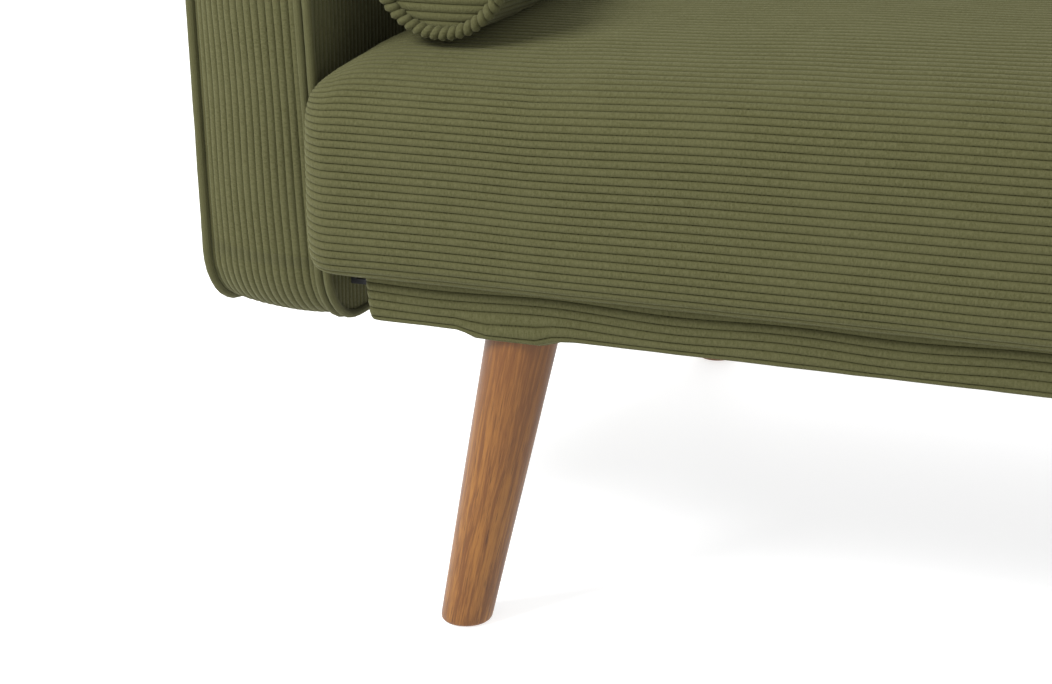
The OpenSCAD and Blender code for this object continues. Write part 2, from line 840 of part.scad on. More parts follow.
module back_foam(side) {
    color(foam_yellow) on_side(side) on_back() difference() {
        back_body(cloth + slack);
        back_core_cavity();
        pin_pockets();
    }
}

module back_cover(side) {
    color(olive) on_side(side) on_back() difference() {
        back_body(0);
        back_body(cloth);
        pin_pockets();
        leaf_bolt_holes();
    }
}

// ---- hinges ----

// The moving leaf: a notched disc on the axis and an arm up the back's stile.
module hinge_leaf(x, notched) {
    difference() {
        union() {
            rod_x(x, leaf_t, leaf_r);
            translate([x, leaf_n, leaf_arm_u]) cube([leaf_t, leaf_w, leaf_l - leaf_arm_u]);
        }
        rod_x(x - 1, leaf_t + 2, pin_r + pin_fit);
        leaf_bolt_holes();
        if (notched) for (lean = [recline - forward_tilt, each [recline : 12.5 : 90]])
            rotate([lean, 0, 0]) translate([0, 0, -leaf_r - 0.8]) rod_x(x - 1, leaf_t + 2, tooth_r);
    }
}

module back_hinge_leaves(side) {
    color(steel) on_side(side) on_back() {
        hinge_leaf(outer_leaf_x, true);
        hinge_leaf(inner_leaf_x, false);
    }
}

module hinge_bolt_holes() {
    for (side = [-1, 1], y = [-18, 18]) on_side(side)
        translate([0, axis_y + y, hinge_bolt_z]) rod_x(frame_end_x - 40, 60, hinge_bolt_r + fit);
}

module seat_hinge_plates() {
    color(steel) difference() {
        for (side = [-1, 1]) on_side(side) union() {
            translate([0, axis_y, axis_z]) rod_x(seat_plate_x, seat_plate_t, seat_plate_r);
            translate([seat_plate_x, axis_y - seat_plate_r, seat_plate_low_z])
                cube([seat_plate_t, 2 * seat_plate_r, axis_z - seat_plate_low_z]);
        }
        hinge_bolt_holes();
        for (side = [-1, 1]) on_side(side) translate([0, axis_y, axis_z]) {
            rod_x(seat_plate_x - 1, seat_plate_t + 2, pin_r + pin_fit);
            translate([0, pawl_y, pawl_z]) rod_x(seat_plate_x - 1, seat_plate_t + 2, pawl_pin_r + pin_fit);
        }
    }
}

// A welded foot and upright between the two back halves.
module middle_hinge_bracket() {
    foot_z = plinth_top_z + 0.2;
    color(steel) difference() {
        union() {
            translate([-middle_rail_w / 2 + 2, seat_rear_y + 6, foot_z])
                cube([middle_rail_w - 4, axis_y + 36 - seat_rear_y - 6, 4]);
            translate([-bracket_t / 2, axis_y - seat_plate_r, foot_z + 3])
                cube([bracket_t, 2 * seat_plate_r, axis_z - foot_z - 3]);
            translate([0, axis_y, axis_z]) rod_x(-bracket_t / 2, bracket_t, seat_plate_r);
        }
        translate([0, axis_y, axis_z]) rod_x(-bracket_t, 2 * bracket_t, pin_r + pin_fit);
    }
}

// Riveted pins: one in each ratchet hinge, one through the middle, and the two that hold the pawls.
module hinge_pins() {
    reach = back_half_gap + 3;
    color(steel) {
        translate([0, axis_y, axis_z]) {
            rod_x(-reach, 2 * reach, pin_r);
            for (side = [-1, 1]) on_side(side) {
                rod_x(reach - 0.5, pin_head_t, pin_head_r);
                rod_x(back_end_x - 4, 16, pin_r);
                rod_x(back_end_x - 4.5, pin_head_t, pin_head_r);
                rod_x(seat_plate_x + seat_plate_t + 0.2, pin_head_t, pin_head_r);
                translate([0, pawl_y, pawl_z]) {
                    rod_x(outer_leaf_x, 11, pawl_pin_r);
                    rod_x(seat_plate_x + seat_plate_t + 0.2, pin_head_t, pawl_eye_r);
                }
            }
        }
    }
}

// Bolts of the seat plates into the end rails, and of the leaves into the stiles' ends.
module hinge_bolts() {
    color(steel) for (side = [-1, 1], y = [-18, 18]) on_side(side)
        translate([0, axis_y + y, hinge_bolt_z]) {
            rod_x(frame_end_x - 22, 30, hinge_bolt_r);
            rod_x(seat_plate_x + seat_plate_t + 0.2, 4, 6);
        }
}

// The pawl rocks on its own pin, with its nose just clear of the leaf's notched rim.
module ratchet_pawl(side) {
    nose_r = 3;
    nose_z = -leaf_r - nose_r - 0.4 - pawl_z;
    color(black) on_side(side) translate([0, axis_y + pawl_y, axis_z + pawl_z]) difference() {
        union() {
            rod_x(outer_leaf_x, leaf_t, pawl_eye_r);
            along_x(outer_leaf_x, leaf_t)
                polygon([[-4, -6], [5, 4], [-pawl_y + nose_r, nose_z + nose_r / 2],
                    [-pawl_y - nose_r, nose_z - nose_r / 2]]);
            translate([0, -pawl_y, nose_z]) rod_x(outer_leaf_x, leaf_t, nose_r);
        }
        rod_x(outer_leaf_x - 1, leaf_t + 2, pawl_pin_r + pin_fit);
    }
}

// A wound spring on each pawl pin, outside the seat plate.
module pawl_springs() {
    start_x = seat_plate_x + seat_plate_t + pin_head_t + 0.4;
    color(black) for (side = [-1, 1]) on_side(side)
        translate([0, axis_y + pawl_y, axis_z + pawl_z]) difference() {
            rod_x(start_x, 2.4, pawl_pin_r + 2.5);
            rod_x(start_x - 1, 5, pawl_pin_r + 0.6);
        }
}

// ---- bolsters ----

module at_bolster(side) {
    on_side(side) translate([bolster_x, bolster_y, bolster_z]) rotate([-90, 0, 0]) children();
}

module bolster_piping_rings(r) {
    for (z = [piping_r, bolster_l - piping_r]) translate([0, 0, z])
        rotate_extrude() translate([piping_ring_r, 0]) circle(r = r, $fn = 32);
}

module bolster_fill(side) {
    color("white") at_bolster(side) difference() {
        translate([0, 0, 9]) cylinder(h = bolster_l - 18, r = bolster_r - cloth - slack);
        bolster_piping_rings(piping_r + 0.1);
    }
}

// The wound body of the case, with a disc in each end that meets it at the piping.
module bolster_cover(side) {
    color(olive) at_bolster(side) difference() {
        translate([0, 0, 6]) cylinder(h = bolster_l - 12, r = bolster_r);
        translate([0, 0, 8]) cylinder(h = bolster_l - 16, r = bolster_r - cloth);
        bolster_piping_rings(piping_r + 0.1);
    }
}

module bolster_piping(side) {
    color(olive_dark) at_bolster(side) bolster_piping_rings(piping_r);
}

plinth_front_rail();
plinth_rear_rail();
plinth_side_rails();
plinth_middle_rail();
corner_blocks();
plinth_front_cover();
plinth_rear_cover();
plinth_end_covers();
dust_cover();
leg_front_left();
leg_front_right();
leg_rear_left();
leg_rear_right();
middle_leg();
leg_plates();
leg_bolts();
leg_plate_screws();
leg_glides();
frame_bolts();
seat_front_rail();
seat_rear_rail();
seat_end_rails();
seat_middle_rail();
seat_slats();
seat_foam();
seat_cover();
arm_frame(-1);  // arm_frame_left
arm_frame(1);  // arm_frame_right
arm_foam(-1);  // arm_foam_left
arm_foam(1);  // arm_foam_right
arm_cover(-1);  // arm_cover_left
arm_cover(1);  // arm_cover_right
arm_welts(-1);  // arm_welts_left
arm_welts(1);  // arm_welts_right
arm_standoffs();
arm_bolts();
back_frame(-1);  // back_frame_left
back_frame(1);  // back_frame_right
back_slats(-1);  // back_slats_left
back_slats(1);  // back_slats_right
back_foam(-1);  // back_foam_left
back_foam(1);  // back_foam_right
back_cover(-1);  // back_cover_left
back_cover(1);  // back_cover_right
back_hinge_leaves(-1);  // back_hinge_leaves_left
back_hinge_leaves(1);  // back_hinge_leaves_right
seat_hinge_plates();
middle_hinge_bracket();
hinge_pins();
hinge_bolts();
ratchet_pawl(-1);  // ratchet_pawl_left
ratchet_pawl(1);  // ratchet_pawl_right
pawl_springs();
bolster_fill(-1);  // bolster_fill_left
bolster_fill(1);  // bolster_fill_right
bolster_cover(-1);  // bolster_cover_left
bolster_cover(1);  // bolster_cover_right
bolster_piping(-1);  // bolster_piping_left
bolster_piping(1);  // bolster_piping_right
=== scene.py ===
"""A folding sofa in olive corduroy.

Two reclining backs, one seat, two arms, two bolsters and splayed wooden legs.
"""

import json
import logging
import math
from dataclasses import dataclass, field
from enum import Enum
from typing import Callable, Optional, Sequence

import bpy
import numpy as np
from mathutils import Euler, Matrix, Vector

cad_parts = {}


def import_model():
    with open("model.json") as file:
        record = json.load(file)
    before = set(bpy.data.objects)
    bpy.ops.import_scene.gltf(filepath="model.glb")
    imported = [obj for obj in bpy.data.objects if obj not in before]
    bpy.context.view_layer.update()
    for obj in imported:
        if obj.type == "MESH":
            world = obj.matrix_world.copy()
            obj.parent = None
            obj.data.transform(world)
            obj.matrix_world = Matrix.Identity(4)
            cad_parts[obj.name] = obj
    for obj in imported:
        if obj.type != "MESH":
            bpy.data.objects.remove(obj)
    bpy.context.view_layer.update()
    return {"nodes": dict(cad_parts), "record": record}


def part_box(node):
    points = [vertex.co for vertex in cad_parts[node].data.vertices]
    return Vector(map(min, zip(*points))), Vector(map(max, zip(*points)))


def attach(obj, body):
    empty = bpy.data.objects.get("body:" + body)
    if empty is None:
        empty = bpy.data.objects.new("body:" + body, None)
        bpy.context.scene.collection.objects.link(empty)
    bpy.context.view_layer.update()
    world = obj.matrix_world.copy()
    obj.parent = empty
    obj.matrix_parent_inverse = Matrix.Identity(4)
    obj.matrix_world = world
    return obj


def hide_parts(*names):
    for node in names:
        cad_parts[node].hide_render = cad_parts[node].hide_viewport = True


log = logging.getLogger("sofa")

WALE = 0.006
WALE_STEPS = (0.0, 0.11, 0.5, 0.89)


class Side(Enum):
    """The two ends of the sofa, as the sign of X."""

    LEFT = -1
    RIGHT = 1

    @property
    def word(self) -> str:
        """The side's word in node and piece names."""
        return self.name.lower()


class Reading(Enum):
    """What a shader reads from the mesh."""

    RIDGE = "ridge"
    ACROSS = "across"
    ALONG = "along"
    GRAIN = "grain"


# ---- small mathematics ----


def smoothstep(low: float, high: float, x: np.ndarray) -> np.ndarray:
    """A soft step.

    Args:
        low: where it leaves 0.
        high: where it reaches 1.
        x: the values.

    Returns:
        Values from 0 to 1.
    """
    t = np.clip((x - low) / (high - low), 0.0, 1.0)
    return t * t * (3.0 - 2.0 * t)


def arc(centre: tuple[float, float], radius: float, start: float, end: float,
        steps: int = 12) -> np.ndarray:
    """Points along a circular arc.

    Args:
        centre: its centre.
        radius: its radius.
        start: first angle in degrees.
        end: last angle in degrees.
        steps: how many straight pieces.

    Returns:
        An array of points, both ends included.
    """
    a = np.radians(np.linspace(start, end, steps + 1))
    return np.stack([centre[0] + radius * np.cos(a), centre[1] + radius * np.sin(a)], -1)


def rounded_loop(corners: Sequence[tuple[float, float]], radii: Sequence[float], step: float,
                 arc_steps: int, pieces: Sequence[int] = ()) -> np.ndarray:
    """A closed outline with round corners, as points.

    Args:
        corners: the sharp corners in order.
        radii: a radius for each.
        step: spacing along the straights.
        arc_steps: pieces in each round corner.
        pieces: how many pieces each straight has, in place of the spacing.

    Returns:
        Points, without the first one repeated.
    """
    pts: list[np.ndarray] = []
    n = len(corners)
    c = [np.array(p, float) for p in corners]
    for i in range(n):
        a, b, d = c[i - 1], c[i], c[(i + 1) % n]
        ua, ud = (a - b) / np.linalg.norm(a - b), (d - b) / np.linalg.norm(d - b)
        half = math.acos(float(np.clip(ua @ ud, -1, 1))) / 2
        mid = (ua + ud) / np.linalg.norm(ua + ud)
        centre = b + mid * radii[i] / math.sin(half)
        reach = radii[i] / math.tan(half)
        v0, v1 = b + ua * reach - centre, b + ud * reach - centre
        t0, t1 = math.atan2(v0[1], v0[0]), math.atan2(v1[1], v1[0])
        turn = (t1 - t0 + math.pi) % (2 * math.pi) - math.pi
        pts.extend(centre + radii[i] * np.array([math.cos(t0 + turn * k / arc_steps),
                                                 math.sin(t0 + turn * k / arc_steps)])
                   for k in range(arc_steps + 1))
    loop = np.array(pts)
    out: list[np.ndarray] = []
    for i, (p, q) in enumerate(zip(loop, np.roll(loop, -1, axis=0))):
        cut = max(1, int(round(float(np.linalg.norm(q - p)) / step)))
        if pieces:
            cut = pieces[i // (arc_steps + 1)] if i % (arc_steps + 1) == arc_steps else 1
        out.extend(p + (q - p) * k / cut for k in range(cut))
    return np.array(out)


def loop_normals(loop: np.ndarray) -> np.ndarray:
    """Unit normals of a closed outline, pointing out of it.

    Args:
        loop: the outline's points.

    Returns:
        One normal for each point.
    """
    t = np.roll(loop, -1, axis=0) - np.roll(loop, 1, axis=0)
    n = np.stack([t[:, 1], -t[:, 0]], -1)
    n /= np.linalg.norm(n, axis=1, keepdims=True)
    return n if np.sum(n * (loop - loop.mean(0))) > 0 else -n


def travelled(points: np.ndarray) -> np.ndarray:
    """Distance covered up to each point of a polyline."""
    return np.append(0.0, np.cumsum(np.linalg.norm(np.diff(points, axis=0), axis=1)))


def softened(points: Sequence[tuple[float, float]], pieces: int = 14) -> np.ndarray:
    """A smooth curve through points.

    Args:
        points: what it passes through.
        pieces: straight pieces between neighbours.

    Returns:
        The curve's points.
    """
    p = np.array(points, float)
    p = np.vstack([2 * p[0] - p[1], p, 2 * p[-1] - p[-2]])
    t = np.linspace(0, 1, pieces, endpoint=False)[:, None]
    out = [0.5 * (2 * b + (c - a) * t + (2 * a - 5 * b + 4 * c - d) * t ** 2 + (3 * b - a - 3 * c + d) * t ** 3)
           for a, b, c, d in zip(p[:-3], p[1:-2], p[2:-1], p[3:])]
    return np.vstack(out + [p[-2:-1]])


def along_path(path: np.ndarray, s: np.ndarray) -> np.ndarray:
    """Where a polyline is after each distance s."""
    d = travelled(path)
    return np.stack([np.interp(s, d, path[:, k]) for k in range(path.shape[1])], -1)


def eased_fill(xs: np.ndarray, ys: np.ndarray, x: np.ndarray) -> np.ndarray:
    """Smooth interpolation of rows of values.

    Args:
        xs: where the rows are.
        ys: the rows.
        x: where values are wanted.

    Returns:
        One row for each x.
    """
    slope = np.gradient(ys, xs, axis=0)
    i = np.clip(np.searchsorted(xs, x, side="right") - 1, 0, len(xs) - 2)
    h = (xs[i + 1] - xs[i]).reshape((-1,) + (1,) * (ys.ndim - 1))
    t = ((x - xs[i]) / (xs[i + 1] - xs[i])).reshape(h.shape)
    return ((2 * t ** 3 - 3 * t ** 2 + 1) * ys[i] + (t ** 3 - 2 * t ** 2 + t) * h * slope[i]
            + (3 * t ** 2 - 2 * t ** 3) * ys[i + 1] + (t ** 3 - t ** 2) * h * slope[i + 1])


def waves(x: np.ndarray, y: np.ndarray, seed: int, size: float, count: int = 7) -> np.ndarray:
    """A gentle unevenness made of a few crossing waves.

    Args:
        x: first coordinate.
        y: second coordinate.
        seed: fixes the waves.
        size: their typical length.
        count: how many are added.

    Returns:
        Values mostly between -1 and 1.
    """
    rng = np.random.default_rng(seed)
    total = np.zeros(np.broadcast(x, y).shape)
    for _ in range(count):
        a, f, p = rng.uniform(0, 2 * math.pi), rng.uniform(0.6, 1.7) * 2 * math.pi / size, rng.uniform(0,
                                                                                                       6.28)
        total += np.sin(f * (x * math.cos(a) + y * math.sin(a)) + p)
    return total / math.sqrt(count)


# ---- cloth as rows along the wales ----


@dataclass(frozen=True)
class Cloth:
    """A piece of corduroy as a grid: each row runs along the wales, and rows follow each other across them.

    Attributes:
        points: rows x columns x 3.
        across: distance over the wales, one per row.
        along: distance along the wales, one per column.
        relief: how deep the grooves are, 0 to 1, rows x columns.
        wrap_rows: the last row meets the first.
        wrap_columns: the last column meets the first.
        facing: a direction the cloth faces, or None for a closed shape.
    """

    points: np.ndarray
    across: np.ndarray
    along: np.ndarray
    relief: np.ndarray
    wrap_rows: bool = False
    wrap_columns: bool = False
    facing: Optional[tuple[float, float, float]] = None

    def quads(self) -> np.ndarray:
        """The grid's faces, turned so that they look outward."""
        rows, cols = self.points.shape[:2]
        ids = np.arange(rows * cols).reshape(rows, cols)
        if self.wrap_rows:
            ids = np.vstack([ids, ids[:1]])
        if self.wrap_columns:
            ids = np.hstack([ids, ids[:, :1]])
        quads = np.stack([ids[:-1, :-1], ids[:-1, 1:], ids[1:, 1:], ids[1:, :-1]], -1).reshape(-1, 4)
        p = self.points.reshape(-1, 3)
        n = np.cross(p[quads[:, 2]] - p[quads[:, 0]], p[quads[:, 3]] - p[quads[:, 1]])
        look = p[quads].mean(1) - p.mean(0) if self.facing is None else np.array(self.facing)
        return quads if float(np.sum(n * look)) > 0 else quads[:, ::-1]


def wale_rows(length: float, pitch: float = WALE) -> tuple[np.ndarray, np.ndarray]:
    """Spaces rows over a length so that each wale has a groove, two shoulders and a crest.

    Args:
        length: the length to cover.
        pitch: the wanted wale width, changed a little to fit a whole number.

    Returns:
        The distance of each row, and the same counted in whole wales of the true width.
    """
    count = max(1, round(length / pitch))
    turns = np.append((np.arange(count)[:, None] + np.array(WALE_STEPS)[None, :]).ravel(), count)
    return turns / count * length, turns * WALE


def mesh_object(name: str, points: np.ndarray, faces: Sequence[Sequence[int]],
                readings: Optional[dict[Reading, np.ndarray]] = None) -> bpy.types.Object:
    """Makes a smooth-shaded mesh object at the origin.

    Args:
        name: the piece's name.
        points: its vertices in metres.
        faces: its faces.
        readings: values stored at the vertices, for shaders and relief.

    Returns:
        The new object, linked to the scene.
    """
    mesh = bpy.data.meshes.new(name)
    mesh.from_pydata(points.tolist(), [], [list(map(int, f)) for f in faces])
    for key, values in (readings or {}).items():
        vector = values.ndim == 2
        attr = mesh.attributes.new(key.value, "FLOAT_VECTOR" if vector else "FLOAT", "POINT")
        attr.data.foreach_set("vector" if vector else "value", values.astype(np.float32).ravel())
    mesh.polygons.foreach_set("use_smooth", np.ones(len(mesh.polygons), bool))
    mesh.update()
    obj = bpy.data.objects.new(name, mesh)
    bpy.context.scene.collection.objects.link(obj)
    return obj


def cloth_object(name: str, parts: Sequence[Cloth]) -> bpy.types.Object:
    """Joins grids of corduroy into one object.

    Args:
        name: the piece's name.
        parts: its grids.

    Returns:
        The object, with its readings stored.
    """
    points, faces, store, base = [], [], {k: [] for k in ("ridge", "across", "along", "relief")}, 0
    for part in parts:
        rows, cols = part.points.shape[:2]
        points.append(part.points.reshape(-1, 3))
        faces.append(part.quads() + base)
        base += rows * cols
        ridge = np.abs(2 * ((part.across / WALE) % 1.0) - 1)
        store["ridge"].append(np.repeat(ridge, cols))
        store["across"].append(np.repeat(part.across, cols))
        store["along"].append(np.tile(part.along, rows))
        store["relief"].append(part.relief.ravel())
    obj = mesh_object(name, np.vstack(points), np.vstack(faces),
                      {r: np.concatenate(store[r.value]) for r in (Reading.RIDGE, Reading.ACROSS,
                                                                   Reading.ALONG)})
    attr = obj.data.attributes.new("relief", "FLOAT", "POINT")
    attr.data.foreach_set("value", np.concatenate(store["relief"]).astype(np.float32))
    return obj


# ---- node helpers ----


class Tree:
    """A thin wrapper for making nodes and links in one line."""

    def __init__(self, tree: bpy.types.NodeTree) -> None:
        """Keeps the tree."""
        self.tree = tree

    def add(self, kind: str, inputs: Optional[dict] = None, **settings: object) -> bpy.types.Node:
        """Adds a node.

        Args:
            kind: its type.
            inputs: values or sockets for its inputs, by name or number.
            settings: its own properties.

        Returns:
            The node.
        """
        node = self.tree.nodes.new(kind)
        for key, value in settings.items():
            setattr(node, key, value)
        self.feed(node, inputs or {})
        return node

    def feed(self, node: bpy.types.Node, inputs: dict) -> None:
        """Links sockets to a node's inputs and sets plain values."""
        for key, value in inputs.items():
            if isinstance(value, bpy.types.NodeSocket):
                self.tree.links.new(value, node.inputs[key])
            else:
                node.inputs[key].default_value = value

    def math(self, operation: str, a: object, b: object) -> bpy.types.NodeSocket:
        """A number from two numbers."""
        return self.add("ShaderNodeMath", {0: a, 1: b}, operation=operation).outputs[0]

    def ramp(self, value: object, low: float, high: float, out_low: float = 0.0,
             out_high: float = 1.0) -> bpy.types.NodeSocket:
        """A soft step of a number, from one range to another."""
        node = self.add("ShaderNodeMapRange", {0: value, 1: low, 2: high, 3: out_low, 4: out_high},
                        interpolation_type="SMOOTHSTEP")
        return node.outputs[0]

    def mix(self, share: object, a: object, b: object) -> bpy.types.NodeSocket:
        """A colour between two colours."""
        return self.add("ShaderNodeMix", {0: share, 6: a, 7: b}, data_type="RGBA").outputs[2]

    def bump(self, strength: float, distance: float, height: object) -> bpy.types.NodeSocket:
        """A normal from a height."""
        return self.add("ShaderNodeBump", {"Strength": strength, "Distance": distance,
                                           "Height": height}).outputs[0]

    def noise(self, vector: object, scale: float, detail: float = 3.0,
              rough: float = 0.55) -> bpy.types.NodeSocket:
        """Noise from 0 to 1 over a vector."""
        node = self.add("ShaderNodeTexNoise",
                        {"Vector": vector, "Scale": scale, "Detail": detail, "Roughness": rough})
        return node.outputs[0]


def socket(group: bpy.types.NodeTree, name: str, kind: str, into: bool = True,
           value: object = None) -> bpy.types.NodeTreeInterfaceSocket:
    """Adds a named input or output to a group.

    Args:
        group: the node group.
        name: the socket's name.
        kind: Float, Color, Vector, Geometry or Material.
        into: whether it is an input.
        value: its default, where it has one.

    Returns:
        The interface socket.
    """
    s = group.interface.new_socket(name=name, in_out="INPUT" if into else "OUTPUT",
                                   socket_type=f"NodeSocket{kind}")
    if value is not None:
        s.default_value = value
    return s


def shaped(obj: bpy.types.Object, group: bpy.types.NodeTree, values: dict[str, object],
           name: str) -> bpy.types.Object:
    """Runs a geometry tree on an object and keeps the result as a plain mesh.

    Args:
        obj: what the tree works on; it is removed.
        group: the tree.
        values: its inputs by name.
        name: the new piece's name.

    Returns:
        The new object.
    """
    mod = obj.modifiers.new("shape", "NODES")
    mod.node_group = group
    for item in group.interface.items_tree:
        if item.item_type == "SOCKET" and item.in_out == "INPUT" and item.name in values:
            mod[item.identifier] = values[item.name]
    obj.update_tag()
    bpy.context.view_layer.update()
    graph = bpy.context.evaluated_depsgraph_get()
    mesh = bpy.data.meshes.new_from_object(obj.evaluated_get(graph), preserve_all_data_layers=True,
                                           depsgraph=graph)
    obj.modifiers.remove(mod)
    old = obj.data
    bpy.data.objects.remove(obj)
    bpy.data.meshes.remove(old)
    mesh.name = name
    made = bpy.data.objects.new(name, mesh)
    bpy.context.scene.collection.objects.link(made)
    return made


class WaleRelief:
    """Sinks the grooves between the wales and roughens the pile, from the readings stored on the cloth."""

    def __init__(self) -> None:
        """Builds the tree."""
        g = bpy.data.node_groups.new("Wale relief", "GeometryNodeTree")
        socket(g, "Geometry", "Geometry", True)
        socket(g, "Depth", "Float", True, 0.0012)
        socket(g, "Sharpness", "Float", True, 4.0)
        socket(g, "Unevenness", "Float", True, 0.0004)
        socket(g, "Lump size", "Float", True, 0.03)
        socket(g, "Finish", "Material", True)
        socket(g, "Geometry", "Geometry", False)
        t = Tree(g)
        given = t.add("NodeGroupInput")
        ridge = t.add("GeometryNodeInputNamedAttribute", {0: "ridge"}, data_type="FLOAT").outputs[0]
        relief = t.add("GeometryNodeInputNamedAttribute", {0: "relief"}, data_type="FLOAT").outputs[0]
        place = t.add("GeometryNodeInputPosition").outputs[0]
        normal = t.add("GeometryNodeInputNormal").outputs[0]
        sunk = t.math("MULTIPLY", t.math("POWER", ridge, given.outputs["Sharpness"]),
                      t.math("MULTIPLY", given.outputs["Depth"], relief))
        lump = t.noise(place, 1.0, 2.0)
        t.tree.links.new(t.math("DIVIDE", 1.0, given.outputs["Lump size"]), lump.node.inputs["Scale"])
        pile = t.noise(place, 260.0, 1.0)
        uneven = t.math("MULTIPLY", t.math("SUBTRACT", lump, 0.5), given.outputs["Unevenness"])
        fine = t.math("MULTIPLY", t.math("SUBTRACT", pile, 0.5), 0.0005)
        height = t.math("SUBTRACT", t.math("ADD", uneven, t.math("MULTIPLY", fine, relief)), sunk)
        offset = t.add("ShaderNodeVectorMath", {0: normal, "Scale": height}, operation="SCALE").outputs[0]
        moved = t.add("GeometryNodeSetPosition", {"Geometry": given.outputs["Geometry"], "Offset": offset})
        smooth = t.add("GeometryNodeSetShadeSmooth", {0: moved.outputs[0]})
        real = t.add("GeometryNodeRealizeInstances", {0: smooth.outputs[0]})
        done = t.add("GeometryNodeSetMaterial", {0: real.outputs[0], "Material": given.outputs["Finish"]})
        t.add("NodeGroupOutput", {0: done.outputs[0]})
        self.group = g

    def apply(self, obj: bpy.types.Object, finish: bpy.types.Material, depth: float = 0.0013,
              uneven: float = 0.0012, lump: float = 0.05, sharpness: float = 6.0) -> bpy.types.Object:
        """Gives cloth its wales.

        Args:
            obj: the smooth cloth.
            finish: its material.
            depth: how deep the grooves are.
            uneven: how far the surface wanders.
            lump: how wide those lumps are.
            sharpness: how narrow the grooves are.

        Returns:
            The finished piece.
        """
        name = obj.name
        obj.name = name + ".plain"
        return shaped(obj, self.group, {"Depth": depth, "Sharpness": sharpness, "Unevenness": uneven,
                                        "Lump size": lump, "Finish": finish}, name)


# ---- finishes ----


def shader(name: str) -> tuple[bpy.types.Material, Tree, bpy.types.Node]:
    """Starts a material with a Principled shader.

    Args:
        name: the material's name.

    Returns:
        The material, its tree and the Principled node.
    """
    material = bpy.data.materials.new(name)
    material.use_nodes = True
    material.node_tree.nodes.clear()
    t = Tree(material.node_tree)
    body = t.add("ShaderNodeBsdfPrincipled")
    t.add("ShaderNodeOutputMaterial", {0: body.outputs[0]})
    return material, t, body


def read(t: Tree, what: Reading) -> bpy.types.NodeSocket:
    """A value stored on the mesh, in a shader."""
    node = t.add("ShaderNodeAttribute", attribute_name=what.value)
    return node.outputs["Vector" if what is Reading.GRAIN else "Fac"]


def rgb(red: float, green: float, blue: float) -> tuple[float, float, float, float]:
    """A colour with full alpha."""
    return (red, green, blue, 1.0)


class PileGroup:
    """The shader group that tells crest from groove, paints shade on each wale's shoulders and in its groove,
    and lays short tufts across each wale.
    """

    def __init__(self) -> None:
        """Builds the group."""
        g = bpy.data.node_groups.new("Corduroy pile", "ShaderNodeTree")
        for name, kind in (("Ridge", "Float"), ("Across", "Float"), ("Along", "Float"), ("Place", "Vector"),
                           ("Crest", "Color"), ("Flank", "Color"), ("Groove", "Color")):
            socket(g, name, kind)
        socket(g, "Color", "Color", False)
        socket(g, "Height", "Float", False)
        t = Tree(g)
        o = t.add("NodeGroupInput").outputs
        tuft_place = t.add("ShaderNodeCombineXYZ", {0: t.math("MULTIPLY", o["Along"], 620.0),
                                                    1: t.math("MULTIPLY", o["Across"], 230.0)}).outputs[0]
        tuft = t.noise(tuft_place, 1.0, 2.0, 0.6)
        fuzz = t.noise(o["Place"], 1100.0, 2.0, 0.7)
        cloud = t.noise(o["Place"], 26.0, 2.0, 0.5)
        wander = t.math("ADD", o["Ridge"], t.math("MULTIPLY", t.math("SUBTRACT", tuft, 0.5), 0.34))
        # Painted shade: the groove mask gives the grooves a dark colour, standing in for the shade that falls in
        # them.
        groove = t.ramp(wander, 0.80, 1.06)
        flank = t.ramp(wander, 0.45, 0.95)
        tone = t.math("ADD", t.math("MULTIPLY", tuft, 1.1), t.math("MULTIPLY", fuzz, 0.8))
        crest = t.mix(t.ramp(tone, 0.62, 1.25), o["Flank"], o["Crest"])
        # Painted shade on the wales' shoulders: they are pulled toward the darker flank colour, which also
        # serves as the darker tuft tone above.
        shade = t.mix(t.math("MULTIPLY", flank, 0.75), crest, o["Flank"])
        cloth = t.mix(groove, shade, o["Groove"])
        worn = t.mix(t.ramp(cloud, 0.35, 0.7, 0.0, 0.22), cloth, o["Crest"])
        height = t.math("ADD", t.math("MULTIPLY", tuft, 0.6), t.math("MULTIPLY", fuzz, 0.5))
        t.add("NodeGroupOutput", {"Color": worn, "Height": height})
        self.group = g


class GrainGroup:
    """The shader group for wood: long streaks, short dark pores and slow colour drift along a grain vector."""

    def __init__(self) -> None:
        """Builds the group."""
        g = bpy.data.node_groups.new("Wood grain", "ShaderNodeTree")
        for name, kind in (("Grain", "Vector"), ("Light", "Color"), ("Dark", "Color"), ("Pore", "Color")):
            socket(g, name, kind)
        socket(g, "Color", "Color", False)
        socket(g, "Height", "Float", False)
        t = Tree(g)
        o = t.add("NodeGroupInput").outputs

        def stretched(x: float, y: float, z: float) -> bpy.types.NodeSocket:
            """The grain vector, drawn out along Z."""
            return t.add("ShaderNodeVectorMath", {0: o["Grain"], 1: (x, y, z)},
                         operation="MULTIPLY").outputs[0]

        bend = t.noise(stretched(30, 30, 6), 1.0, 2.0)
        moved = t.add("ShaderNodeVectorMath", {0: stretched(310, 310, 11), 1: t.add(
            "ShaderNodeCombineXYZ", {0: t.math("MULTIPLY", bend, 5.0), 1: bend}).outputs[0]},
            operation="ADD").outputs[0]
        streak = t.noise(moved, 1.0, 4.0, 0.62)
        fine = t.noise(stretched(1500, 1500, 70), 1.0, 2.0, 0.6)
        pores = t.noise(stretched(900, 900, 42), 1.0, 1.0, 0.5)
        drift = t.noise(stretched(22, 22, 4), 1.0, 1.0)
        wood = t.mix(t.ramp(t.math("ADD", t.math("MULTIPLY", streak, 0.8), t.math("MULTIPLY", fine, 0.35)),
                            0.44, 0.68), o["Light"], o["Dark"])
        wood = t.mix(t.ramp(drift, 0.3, 0.75, 0.0, 0.4), wood, o["Dark"])
        pore = t.ramp(pores, 0.64, 0.74, 0.0, 0.7)
        t.add("NodeGroupOutput", {"Color": t.mix(pore, wood, o["Pore"]),
                                  "Height": t.math("SUBTRACT", t.math("MULTIPLY", fine, 0.3), pore)})
        self.group = g


